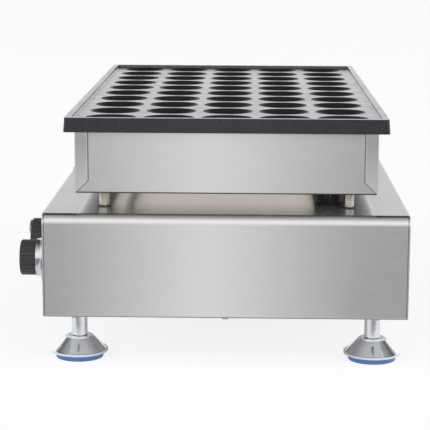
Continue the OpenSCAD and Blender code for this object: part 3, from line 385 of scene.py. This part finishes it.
def cover_reflection_tone(tree, spot, facing):
    from_side, rise = from_edges(tree, spot, "casing_cover")
    line_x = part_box("casing_cover")[1].x - BEND_RADIUS + 2 * BEND_LINE
    off_line = apart(tree, maths(tree, "ABSOLUTE", spot["X"]), line_x)
    # Painted dark reflection where the top turns down.
    on_bend_reflection = product(tree, remap(tree, off_line, BEND_LINE, 2 * BEND_LINE, 1.0, 0.0),
                      remap(tree, facing["Z"], *TURNING))
    inward = maths(tree, "MINIMUM", from_side, product(tree, rise, EDGE_LINE / FOOT_LINE))
    # Painted dark reflection along the sheet's edges and foot.
    on_edge_reflection = product(tree, remap(tree, inward, EDGE_LINE / 2, EDGE_LINE, 1.0, 0.0),
                      faces_end(tree, facing, FOLD_FACING))
    dark = maths(tree, "MAXIMUM", on_bend_reflection, on_edge_reflection)
    return remap(tree, dark, 0.0, 1.0, 1.0, DARK_REFLECTION_TONE, "LINEAR")

# %% [markdown]
# ## Brushed stainless steel
#
# The sheets were brushed in one direction at the mill. The scratches are far too fine to see one by
# one, but together they smear a reflection across the grain. That is what the Anisotropic value
# does. The grain runs level along every sheet, so the smear runs up and down on walls, and along X
# on level faces. Noise that is stretched 250 times adds the finest scratches, which only show from
# close by, and broad noise adds handling marks.

# %% Brushed steel
GRAIN, GRAIN_STRETCH, GRAIN_DEPTH, MARKS = 0.16 * MM, 0.004, 0.0003 * MM, 45 * MM
STEEL_ROUGHNESS, MARK_SPAN, MARK_ROUGHNESS = (0.228, 0.252), (0.35, 0.7), 0.01
STEEL_DARK, STEEL_LIGHT = (0.666, 0.666, 0.662), (0.704, 0.704, 0.700)
SMEAR, TAB_SMEAR, SMEAR_STRENGTH = (0.02, 0.0, 1.0), (0.02, 1.0, 0.0), 0.9


def scratches(tree, place, axis):
    stretch = [GRAIN_STRETCH if name == axis else 1 for name in "XYZ"]
    return noise(tree, place, GRAIN, stretch=stretch, detail=3)


def brushed(name, tabs=False, bends=False):
    tree, shader, place, rounded = start(name, metallic=1.0)
    spot, facing = split(tree, place), normals(tree)
    long_side = remap(tree, maths(tree, "ABSOLUTE", facing["Y"]), *TURNING)
    streaks = mixed(tree, long_side, scratches(tree, place, "Y"), scratches(tree, place, "X"))
    smear = add(tree, "ShaderNodeCombineXYZ", dict(enumerate(SMEAR))).outputs[0]
    if tabs:
        on_tab, tone = tab_masks(tree, spot, facing)
        streaks = mixed(tree, on_tab, streaks, scratches(tree, place, "Z"))
        smear = add(tree, "ShaderNodeMix", {"Factor": on_tab, 4: smear, 5: TAB_SMEAR},
                    data_type="VECTOR").outputs[1]
    marks = remap(tree, noise(tree, place, MARKS, detail=3), *MARK_SPAN, 0.0, MARK_ROUGHNESS)
    colour = tint(tree, remap(tree, streaks, *NOISE_SPAN), STEEL_DARK, STEEL_LIGHT)
    if bends:
        tone = cover_reflection_tone(tree, spot, facing)
    if tabs or bends:
        colour = scaled(tree, colour, tone)
    wire(tree, shader,
         Base_Color=colour,
         Roughness=maths(tree, "ADD", remap(tree, streaks, *NOISE_SPAN, *STEEL_ROUGHNESS), marks),
         Normal=bump(tree, streaks, GRAIN_DEPTH, rounded),
         Tangent=smear)
    shader.inputs["Anisotropic"].default_value = SMEAR_STRENGTH


brushed("brushed_steel")
brushed("brushed_box", tabs=True)
brushed("brushed_cover", bends=True)
print("finishes so far:", len(FINISHES))

# %% [markdown]
# ## Coated casting
#
# The plate is cast, machined a little and sprayed with a dark non-stick coating. Spray leaves an
# orange-peel skin with tiny specks. The coating is a plastic over metal, so it is dark from above
# and pale at a low angle. A low base colour and a middling roughness give both at once. Batter and
# scraping have left the dimples duller than the tray round them, and painted shade darkens their
# colour, so that they stay dark out to their edges even at a low angle. The inner faces of the end
# rims are paler.

# %% Coated casting
TRAY_DEPTH, LIP_HEIGHT, UPWARD, RIM_FACING = 2.8 * MM, 0.4 * MM, 0.5, -0.05
DIMPLE_ROUGHNESS, DIMPLE_SHADE_TONE, RIM_TONE = 0.46, 0.35, (5.2, 4.5, 3.4)
COAT_DARK, COAT_SPECK, SPECK_SPAN = (0.008, 0.009, 0.012), (0.045, 0.048, 0.057), (0.45, 0.70)
COAT_ROUGHNESS, PEEL_DEPTH, CASTING_DEPTH = (0.17, 0.23), 0.020 * MM, 0.03 * MM

tree, shader, place, rounded = start("nonstick_casting", edge=0.3 * MM)
peel = noise(tree, place, 1.1 * MM, detail=2)
specks = noise(tree, place, 0.45 * MM, detail=1)
casting = noise(tree, place, 14 * MM, detail=3)
spot, facing = split(tree, place), normals(tree)
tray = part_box("baking_plate")[1].z - TRAY_DEPTH
below = remap(tree, spot["Z"], tray - LIP_HEIGHT, tray, 1.0, 0.0)
in_dimple = product(tree, below, maths(tree, "GREATER_THAN", facing["Z"], UPWARD))
inward = maths(tree, "LESS_THAN", product(tree, facing["X"], spot["X"]), RIM_FACING)
on_rim = product(tree, inward, maths(tree, "SUBTRACT", 1.0, below))

# Painted shade in the dimples.
dimple_shade = mixed(tree, in_dimple, 1.0, DIMPLE_SHADE_TONE)
tones = {i: mixed(tree, on_rim, dimple_shade, rim_paler) for i, rim_paler in enumerate(RIM_TONE)}
tones = add(tree, "ShaderNodeCombineXYZ", tones).outputs[0]
coat = tint(tree, remap(tree, specks, *SPECK_SPAN), COAT_DARK, COAT_SPECK)
wire(tree, shader,
     Base_Color=add(tree, "ShaderNodeVectorMath", {0: coat, 1: tones}, operation="MULTIPLY").outputs[0],
     Roughness=mixed(tree, in_dimple, remap(tree, casting, *NOISE_SPAN, *COAT_ROUGHNESS),
                     DIMPLE_ROUGHNESS),
     Normal=bump(tree, peel, PEEL_DEPTH, bump(tree, casting, CASTING_DEPTH, rounded)))
print("finishes so far:", len(FINISHES))

# %% [markdown]
# ## Chrome, nickel and zinc
#
# Chrome copies the room almost like a mirror. The feet are cast, and polishing leaves shallow waves
# that break up what they reflect. The knobs' skirts are spun from sheet, and their chrome is a darker
# copy, painted shade that dims what they reflect. Nickel is warmer and duller. Zinc-plated screws are
# duller still, with a cloudy bloom. One function makes them all, because only colour, roughness and
# ripple differ.

# %% Plated metals
def plated(name, dark, light, low, high, ripple, size, waves=0.0):
    tree, shader, place, rounded = start(name, metallic=1.0, edge=0.25 * MM)
    cloud = noise(tree, place, size, detail=4)
    fine = noise(tree, place, 0.5 * MM, detail=2)
    rounded = bump(tree, noise(tree, place, size, detail=1), waves, rounded)
    wire(tree, shader,
         Base_Color=tint(tree, cloud, dark, light),
         Roughness=remap(tree, cloud, *NOISE_SPAN, low, high),
         Normal=bump(tree, fine, ripple, rounded))


plated("chrome", (0.67, 0.69, 0.73), (0.80, 0.81, 0.83), 0.05, 0.12, 0.002 * MM, 7 * MM, 0.14 * MM)
# A darker copy of chrome for the knobs' skirts: painted shade.
plated("shaded_skirt_chrome", (0.50, 0.51, 0.54), (0.66, 0.67, 0.69), 0.08, 0.16, 0.002 * MM, 5 * MM)
plated("nickel", (0.84, 0.81, 0.73), (0.96, 0.94, 0.88), 0.08, 0.18, 0.004 * MM, 3 * MM)
plated("thread_root", (0.36, 0.33, 0.28), (0.76, 0.73, 0.66), 0.14, 0.26, 0.004 * MM, 1.5 * MM)
plated("zinc", (0.42, 0.42, 0.41), (0.58, 0.58, 0.56), 0.26, 0.42, 0.004 * MM, 2.5 * MM)
plated("bright_sheet", (0.62, 0.62, 0.61), (0.74, 0.74, 0.73), 0.18, 0.34, 0.006 * MM, 30 * MM)
plated("dark_sheath", (0.10, 0.09, 0.08), (0.22, 0.18, 0.15), 0.35, 0.55, 0.010 * MM, 6 * MM)
plated("dark_washer", (0.020, 0.018, 0.016), (0.14, 0.13, 0.11), 0.20, 0.38, 0.006 * MM, 2 * MM)
plated("copper_tube", (0.55, 0.28, 0.17), (0.78, 0.45, 0.30), 0.18, 0.38, 0.004 * MM, 5 * MM)
print("finishes so far:", len(FINISHES))

# %% [markdown]
# ## Plastics, rubber, ceramic and fibre
#
# Moulded pieces carry the fine grain of their mould, and handling polishes them unevenly. The same
# skeleton serves all of them, with the grain's size and depth taken from the real material: 0.3 mm
# on a knob, a coarse fleece on the blanket.

# %% Moulded materials
def moulded(name, dark, light, low, high, grain, depth, broad=12 * MM):
    tree, shader, place, rounded = start(name)
    fine = noise(tree, place, grain, detail=3)
    wear = noise(tree, place, broad, detail=3)
    wire(tree, shader,
         Base_Color=tint(tree, wear, dark, light),
         Roughness=remap(tree, wear, *NOISE_SPAN, low, high),
         Normal=bump(tree, fine, depth, rounded))
    return shader


moulded("knob_grip", (0.034, 0.034, 0.035), (0.056, 0.056, 0.058), 0.38, 0.52, 0.30 * MM, 0.015 * MM)
moulded("dark_plastic", (0.022, 0.022, 0.023), (0.036, 0.036, 0.037), 0.42, 0.58, 0.25 * MM, 0.012 * MM)
moulded("glossy_rocker", (0.012, 0.012, 0.012), (0.018, 0.018, 0.018), 0.10, 0.18, 0.8 * MM, 0.002 * MM)
moulded("control_body", (0.70, 0.68, 0.62), (0.80, 0.78, 0.72), 0.40, 0.55, 0.4 * MM, 0.010 * MM)
moulded("ceramic", (0.78, 0.75, 0.68), (0.88, 0.86, 0.80), 0.55, 0.75, 0.5 * MM, 0.020 * MM)
moulded("grommet_rubber", (0.018, 0.018, 0.018), (0.032, 0.032, 0.032), 0.55, 0.72, 0.3 * MM,
        0.015 * MM)
moulded("blue_pad", (0.085, 0.225, 0.52), (0.115, 0.275, 0.60), 0.38, 0.52, 0.5 * MM, 0.012 * MM)
moulded("fibre_blanket", (0.70, 0.66, 0.56), (0.88, 0.85, 0.78), 0.85, 1.0, 1.8 * MM, 0.60 * MM,
        broad=8 * MM)
moulded("white_print", (0.74, 0.74, 0.72), (0.82, 0.82, 0.80), 0.45, 0.60, 0.3 * MM, 0.004 * MM)
moulded("black_print", (0.012, 0.012, 0.012), (0.020, 0.020, 0.020), 0.35, 0.50, 0.3 * MM, 0.004 * MM)
lens_shader = moulded("amber_lens", (0.80, 0.26, 0.02), (0.95, 0.36, 0.04), 0.06, 0.12,
                      1.0 * MM, 0.003 * MM)
lens_shader.inputs["Transmission Weight"].default_value = 0.35
print("finishes so far:", len(FINISHES))

# %% [markdown]
# ## Braid yarn
#
# The lead sleeve is woven from dark glass-fibre yarn. Its broken filament ends would catch the light,
# and that sheen is painted into the colour as pale flecks. The flecks are the bright tops of a fine
# noise.

# %% Braid yarn
YARN_DARK, YARN_SHEEN_FLECK, SHEEN_FLECK_SPAN = (0.005, 0.005, 0.005), (0.75, 0.75, 0.70), (0.60, 0.70)
SHEEN_SPAN, YARN_ROUGHNESS = (0.4, 0.7), (0.75, 0.35)

tree, shader, place, rounded = start("braid_yarn", edge=0.1 * MM)
# Pale flecks of painted sheen; the same flecks are also smoother and raised.
sheen_fleck = noise(tree, place, 1.3 * MM, detail=3, rough=0.75)
wire(tree, shader,
     Base_Color=tint(tree, remap(tree, sheen_fleck, *SHEEN_FLECK_SPAN), YARN_DARK, YARN_SHEEN_FLECK),
     Roughness=remap(tree, sheen_fleck, *SHEEN_SPAN, *YARN_ROUGHNESS),
     Normal=bump(tree, sheen_fleck, 0.10 * MM, rounded))
print("finishes:", sorted(FINISHES))

# %% [markdown]
# ## Dress the solids
#
# The record names a material slot for each node. A table from slot to finish dresses them all, and
# a short second table lists the few nodes whose finish differs from the rest of their slot.

# %% Assign finishes
BY_SLOT = {
    "cast_plate": "nonstick_casting", "stainless": "brushed_steel", "bright_metal": "chrome",
    "fastener_steel": "zinc", "fibre_blanket": "fibre_blanket", "reflector": "bright_sheet",
    "element_sheath": "dark_sheath", "ceramic": "ceramic", "copper": "copper_tube",
    "braided_sleeve": "braid_yarn", "black_rubber": "grommet_rubber", "black_plastic": "dark_plastic",
    "knob_plastic": "knob_grip", "rocker_plastic": "glossy_rocker", "control_plastic": "control_body",
    "amber_lens": "amber_lens", "blue_rubber": "blue_pad",
}
BY_NODE = {
    "support_posts": "thread_root", "post_washers": "dark_washer", "heater_box": "brushed_box",
    "casing_cover": "brushed_cover", "knob_skirt_right": "shaded_skirt_chrome",
    "knob_skirt_left": "shaded_skirt_chrome",
}

for part in frame["record"]["subparts"]:
    node = frame["nodes"][part["node"]]
    finish = FINISHES[BY_NODE.get(part["node"], BY_SLOT[part["material_slot"]])]
    if not node.material_slots:
        node.data.materials.append(finish)
    for slot in node.material_slots:
        slot.material = finish

# %% [markdown]
# ## Growing pieces with Geometry Nodes
#
# Threads, braid and dial ticks all repeat, so each is grown by a small geometry tree with named
# sizes. A tree runs on a few points that say where its copies go, and its last steps, which are the
# same for all, are one helper. The result is then kept as a plain mesh and the modifier is removed,
# because the finished model holds meshes and no recipes.

# %% Geometry Nodes helpers
def recipe(name, inputs):
    tree = bpy.data.node_groups.new(name, "GeometryNodeTree")
    tree.interface.new_socket(name="Geometry", in_out="INPUT", socket_type="NodeSocketGeometry")
    for label, kind in inputs.items():
        tree.interface.new_socket(name=label, in_out="INPUT", socket_type="NodeSocket" + kind)
    tree.interface.new_socket(name="Geometry", in_out="OUTPUT", socket_type="NodeSocketGeometry")
    return tree, add(tree, "NodeGroupInput").outputs


def copied(tree, points, shape, **placing):
    inputs = {"Points": points, "Instance": shape, **placing}
    return add(tree, "GeometryNodeInstanceOnPoints", inputs).outputs[0]


def serve(tree, size, shape):
    copies = copied(tree, size["Geometry"], shape)
    whole = add(tree, "GeometryNodeRealizeInstances", {0: copies}).outputs[0]
    dressed = add(tree, "GeometryNodeSetMaterial", {"Geometry": whole, "Material": size["Material"]})
    add(tree, "NodeGroupOutput", {"Geometry": dressed.outputs[0]})


def grow(name, tree, points, sizes, body):
    seed = bpy.data.meshes.new(name)
    seed.from_pydata(points, [], [])
    piece = bpy.data.objects.new(name, seed)
    bpy.context.scene.collection.objects.link(piece)
    modifier = piece.modifiers.new("recipe", "NODES")
    modifier.node_group = tree
    for item in tree.interface.items_tree:
        if item.in_out == "INPUT" and item.name in sizes:
            modifier[item.identifier] = sizes[item.name]
    evaluated = piece.evaluated_get(bpy.context.evaluated_depsgraph_get())
    mesh = bpy.data.meshes.new_from_object(evaluated)
    piece.modifiers.clear()
    piece.data = mesh
    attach(piece, body)
    print(name + ":", len(mesh.polygons), "faces")

# %% [markdown]
# ## Threads on the spacer posts
#
# Six short posts hold the heater box off the casing. They are cut from threaded rod, so each shows
# about ten turns of thread. A thread is a ridge that climbs a cylinder: a spiral curve with a small
# three-sided profile swept along it. The crests are bright and the root between them is darker,
# which keeps the broken sparkle that the photo shows there.

# %% Post threads
def spiral(tree, size, height, turns, steps, reverse=False):
    return add(tree, "GeometryNodeCurveSpiral", {
        "Resolution": steps, "Rotations": turns, "Start Radius": size["Radius"],
        "End Radius": size["Radius"], "Height": height, "Reverse": reverse}).outputs[0]


def swept(tree, path, profile):
    return add(tree, "GeometryNodeCurveToMesh", {"Curve": path, "Profile Curve": profile,
                                                 "Fill Caps": True}).outputs[0]


tree, size = recipe("screw_thread", {"Radius": "Float", "Length": "Float", "Pitch": "Float",
                                     "Ridge": "Float", "Material": "Material"})
helix = spiral(tree, size, size["Length"], maths(tree, "DIVIDE", size["Length"], size["Pitch"]), 28)
ridge = add(tree, "GeometryNodeCurvePrimitiveCircle", {"Resolution": 3, "Radius": size["Ridge"]})
serve(tree, size, swept(tree, helix, ridge.outputs[0]))

posts_low, posts_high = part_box("support_posts")
POST_RADIUS, THREAD_PITCH, THREAD_RIDGE = 4.4 * MM, 1.25 * MM, 0.3 * MM
post_xs = (posts_low.x + POST_RADIUS, 0.0, posts_high.x - POST_RADIUS)
post_ys = (posts_low.y + POST_RADIUS, posts_high.y - POST_RADIUS)
thread_length = posts_high.z - posts_low.z - 2 * THREAD_RIDGE
grow("post_threads", tree, [(x, y, posts_low.z + THREAD_RIDGE) for x in post_xs for y in post_ys],
     {"Radius": POST_RADIUS, "Length": thread_length, "Pitch": THREAD_PITCH, "Ridge": THREAD_RIDGE,
      "Material": FINISHES["nickel"]}, "cooker")

# %% [markdown]
# ## The braided sleeve
#
# The thermostat leads run from the casing to the heater box inside a braid. A braid is two sets of
# strands that climb the same tube in opposite directions and weave over and under each other. Each
# strand here is a spiral whose radius swells and shrinks in time with its crossings. The second
# set turns the other way and swells where the first set shrinks.

# %% Braided sleeves
WHOLE_TURN = 2 * math.pi


def seats(tree, count):
    line = add(tree, "GeometryNodeMeshLine", {"Count": count, "Offset": (0, 0, 0)}, mode="OFFSET")
    return line.outputs[0], add(tree, "GeometryNodeInputIndex").outputs[0]


tree, size = recipe("braided_tube", {"Radius": "Float", "Height": "Float", "Strands": "Int",
                                     "Turns": "Float", "Width": "Float", "Thickness": "Float",
                                     "Material": "Material"})
profile = add(tree, "GeometryNodeCurvePrimitiveQuadrilateral",
              {"Width": size["Thickness"], "Height": size["Width"]}).outputs[0]
waves = product(tree, size["Strands"], size["Turns"])
join = add(tree, "GeometryNodeJoinGeometry")
for reverse, phase in ((False, 0.0), (True, math.pi)):
    helix = spiral(tree, size, size["Height"], size["Turns"], 120, reverse)
    along = add(tree, "GeometryNodeSplineParameter").outputs["Factor"]
    swing = maths(tree, "MULTIPLY_ADD", product(tree, along, waves), WHOLE_TURN, phase)
    swell = product(tree, maths(tree, "SINE", swing), size["Thickness"])
    where = add(tree, "GeometryNodeInputPosition").outputs[0]
    flat = add(tree, "ShaderNodeVectorMath", {0: where, 1: (1, 1, 0)}, operation="MULTIPLY").outputs[0]
    outward = add(tree, "ShaderNodeVectorMath", {0: flat}, operation="NORMALIZE").outputs[0]
    woven = add(tree, "GeometryNodeSetPosition", {"Geometry": helix,
                                                  "Offset": scaled(tree, outward, swell)}).outputs[0]
    level = add(tree, "GeometryNodeSetCurveNormal", {"Curve": woven}, mode="Z_UP").outputs[0]
    ring, index = seats(tree, size["Strands"])
    angle = product(tree, maths(tree, "DIVIDE", index, size["Strands"]), WHOLE_TURN)
    turn = add(tree, "ShaderNodeCombineXYZ", {2: angle}).outputs[0]
    tree.links.new(copied(tree, ring, swept(tree, level, profile), Rotation=turn), join.inputs[0])
serve(tree, size, join.outputs[0])

SLEEVE_RADIUS, GROMMET_LIP = 9.5 * MM, 1.8 * MM
sleeves_low, sleeves_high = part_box("lead_sleeves")
sleeve_y = centre("lead_sleeves").y
sleeve_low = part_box("casing_cover")[1].z + GROMMET_LIP
sleeve_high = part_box("heater_box")[0].z - GROMMET_LIP
sleeve_xs = (sleeves_low.x + SLEEVE_RADIUS, sleeves_high.x - SLEEVE_RADIUS)
grow("sleeve_braid", tree, [(x, sleeve_y, sleeve_low) for x in sleeve_xs],
     {"Radius": SLEEVE_RADIUS, "Height": sleeve_high - sleeve_low, "Strands": 20, "Turns": 0.22,
      "Width": 2.2 * MM, "Thickness": 0.3 * MM, "Material": FINISHES["braid_yarn"]},
     "cooker")

# %% [markdown]
# ## Dials on the front panel
#
# A knob needs a scale, so the panel carries a ring of printed ticks round each one. Print is a skin
# of ink, so the ticks are only a tenth of a millimetre thick. The tree places thin bars at even
# angles round each knob's axis, half of them on either side of the top.

# %% Dial ticks
tree, size = recipe("dial_ticks", {"Radius": "Float", "Count": "Int", "Sweep": "Float",
                                   "Tick": "Vector", "Material": "Material"})
row, index = seats(tree, size["Count"])
share = maths(tree, "DIVIDE", index, maths(tree, "SUBTRACT", size["Count"], 1.0))
angle = product(tree, maths(tree, "SUBTRACT", share, 0.5), size["Sweep"])
spoke = add(tree, "ShaderNodeCombineXYZ", {0: maths(tree, "SINE", angle),
                                           2: maths(tree, "COSINE", angle)}).outputs[0]
ring = add(tree, "GeometryNodeSetPosition", {"Geometry": row,
                                             "Offset": scaled(tree, spoke, size["Radius"])}).outputs[0]
bar = add(tree, "GeometryNodeMeshCube", {"Size": size["Tick"]}).outputs[0]
turn = add(tree, "ShaderNodeCombineXYZ", {1: angle}).outputs[0]
serve(tree, size, copied(tree, ring, bar, Rotation=turn))
ticks_tree = tree

INK, THERMOSTAT_SWEEP, TIMER_SWEEP = 0.1 * MM, math.radians(270), math.radians(300)
panel_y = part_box("front_panel")[0].y
dials = {side: centre("knob_skirt_" + side) for side in ("right", "left")}
timer_dial = centre("timer_knob_ring")
grow("thermostat_ticks", ticks_tree, [(d.x, panel_y, d.z) for d in dials.values()],
     {"Radius": 27 * MM, "Count": 13, "Sweep": THERMOSTAT_SWEEP, "Tick": (0.6 * MM, INK, 2.4 * MM),
      "Material": FINISHES["black_print"]}, "cooker")
grow("timer_ticks", ticks_tree, [(timer_dial.x, panel_y, timer_dial.z)],
     {"Radius": 23.5 * MM, "Count": 31, "Sweep": TIMER_SWEEP, "Tick": (0.45 * MM, INK, 1.8 * MM),
      "Material": FINISHES["black_print"]}, "cooker")

# %% [markdown]
# ## Numbers on the dials
#
# Plain numbers say how hot and how long. Each is a text object turned to face out of the panel, then
# made a mesh at once, because a finished piece is plain geometry with its place in its mesh.

# %% Dial numbers
UPRIGHT, SCALE_STEPS = Matrix.Rotation(math.radians(90), 4, "X"), 6


def joined(name, meshes, finish, body):
    verts, faces = [], []
    for mesh, place in meshes:
        first = len(verts)
        verts += [place @ v.co for v in mesh.vertices]
        faces += [[first + i for i in p.vertices] for p in mesh.polygons]
    whole = bpy.data.meshes.new(name)
    whole.from_pydata(verts, [], faces)
    whole.materials.append(FINISHES[finish])
    piece = bpy.data.objects.new(name, whole)
    bpy.context.scene.collection.objects.link(piece)
    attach(piece, body)
    print(name + ":", len(faces), "faces")


def number(text, height):
    letters = bpy.data.curves.new("number", "FONT")
    letters.body, letters.size = text, height
    letters.align_x, letters.align_y = "CENTER", "CENTER"
    letters.extrude, letters.resolution_u = INK / 2, 3
    holder = bpy.data.objects.new("number", letters)
    bpy.context.scene.collection.objects.link(holder)
    mesh = bpy.data.meshes.new_from_object(holder.evaluated_get(bpy.context.evaluated_depsgraph_get()))
    bpy.data.objects.remove(holder)
    return mesh


def scale_numbers(dial, top, sweep, radius, height):
    made = []
    for i in range(SCALE_STEPS + 1):
        angle = sweep * (i / SCALE_STEPS - 0.5)
        place = Vector((dial.x + radius * math.sin(angle), panel_y, dial.z + radius * math.cos(angle)))
        made.append((number(str(top * i // SCALE_STEPS), height), Matrix.Translation(place) @ UPRIGHT))
    return made


meshes = []
for dial in dials.values():
    meshes += scale_numbers(dial, 300, THERMOSTAT_SWEEP, radius=32.5 * MM, height=5 * MM)
meshes += scale_numbers(timer_dial, 30, TIMER_SWEEP, radius=28 * MM, height=4.6 * MM)
joined("dial_numbers", meshes, "black_print", "cooker")

# %% [markdown]
# ## Pointers on the knobs
#
# A knob says nothing without its pointer. The white line is set into the knob's face and turns with
# the knob, so each pointer rides on its own knob. The dial's tree makes it too: a ring of ticks
# with a count of one is a single tick, and it lies exactly where the scale's zero is.

# %% Knob pointers
for side, dial in dials.items():
    face_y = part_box("knob_grip_" + side)[0].y
    grow("pointer_" + side, ticks_tree, [(dial.x, face_y, dial.z)],
         {"Radius": 10 * MM, "Count": 1, "Sweep": THERMOSTAT_SWEEP, "Tick": (1.4 * MM, 2 * INK, 8 * MM),
          "Material": FINISHES["white_print"]}, "thermostat_knob_" + side)
face_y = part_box("timer_knob_grip")[0].y
grow("pointer_timer", ticks_tree, [(timer_dial.x, face_y, timer_dial.z)],
     {"Radius": 12 * MM, "Count": 1, "Sweep": TIMER_SWEEP, "Tick": (1.6 * MM, 2 * INK, 9 * MM),
      "Material": FINISHES["white_print"]}, "timer_knob")

# %% [markdown]
# ## Marks on the rocker
#
# The usual circle and bar say off and on. They are printed on the two faces of the rocker, so they
# tilt with it. At rest the switch is off: the lower face lies level with its frame, and the upper
# face leans out by 22 degrees. Each mark is placed by how far it stands out of the panel and how far
# above the rocker's middle, which is as high as the knobs' axes.

# %% Rocker marks
MARK_HEIGHT, LEAN = 4 * MM, 22
LOWER_MARK, UPPER_MARK = (0.66 * MM, -5.26 * MM), (2.47 * MM, 4.07 * MM)
marks = []
for text, (out, up), lean in (("O", LOWER_MARK, 0), ("I", UPPER_MARK, LEAN)):
    place = Matrix.Translation((centre("switch_rocker").x, panel_y - out, dials["right"].z + up))
    marks.append((number(text, MARK_HEIGHT), place @ Matrix.Rotation(math.radians(90 + lean), 4, "X")))
joined("rocker_marks", marks, "white_print", "rocker")

# %% [markdown]
# ## Sizes
#
# This prints how far the box of the finished model has grown past the box of the solids.
# The box of the finished model must stay the box of the solids.

# %% Sizes and finish
seen_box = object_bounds()
grown = (seen_box[1] - seen_box[0]) - (cad_box[1] - cad_box[0])
print("grown by, mm:", [round(side / MM, 2) for side in grown])
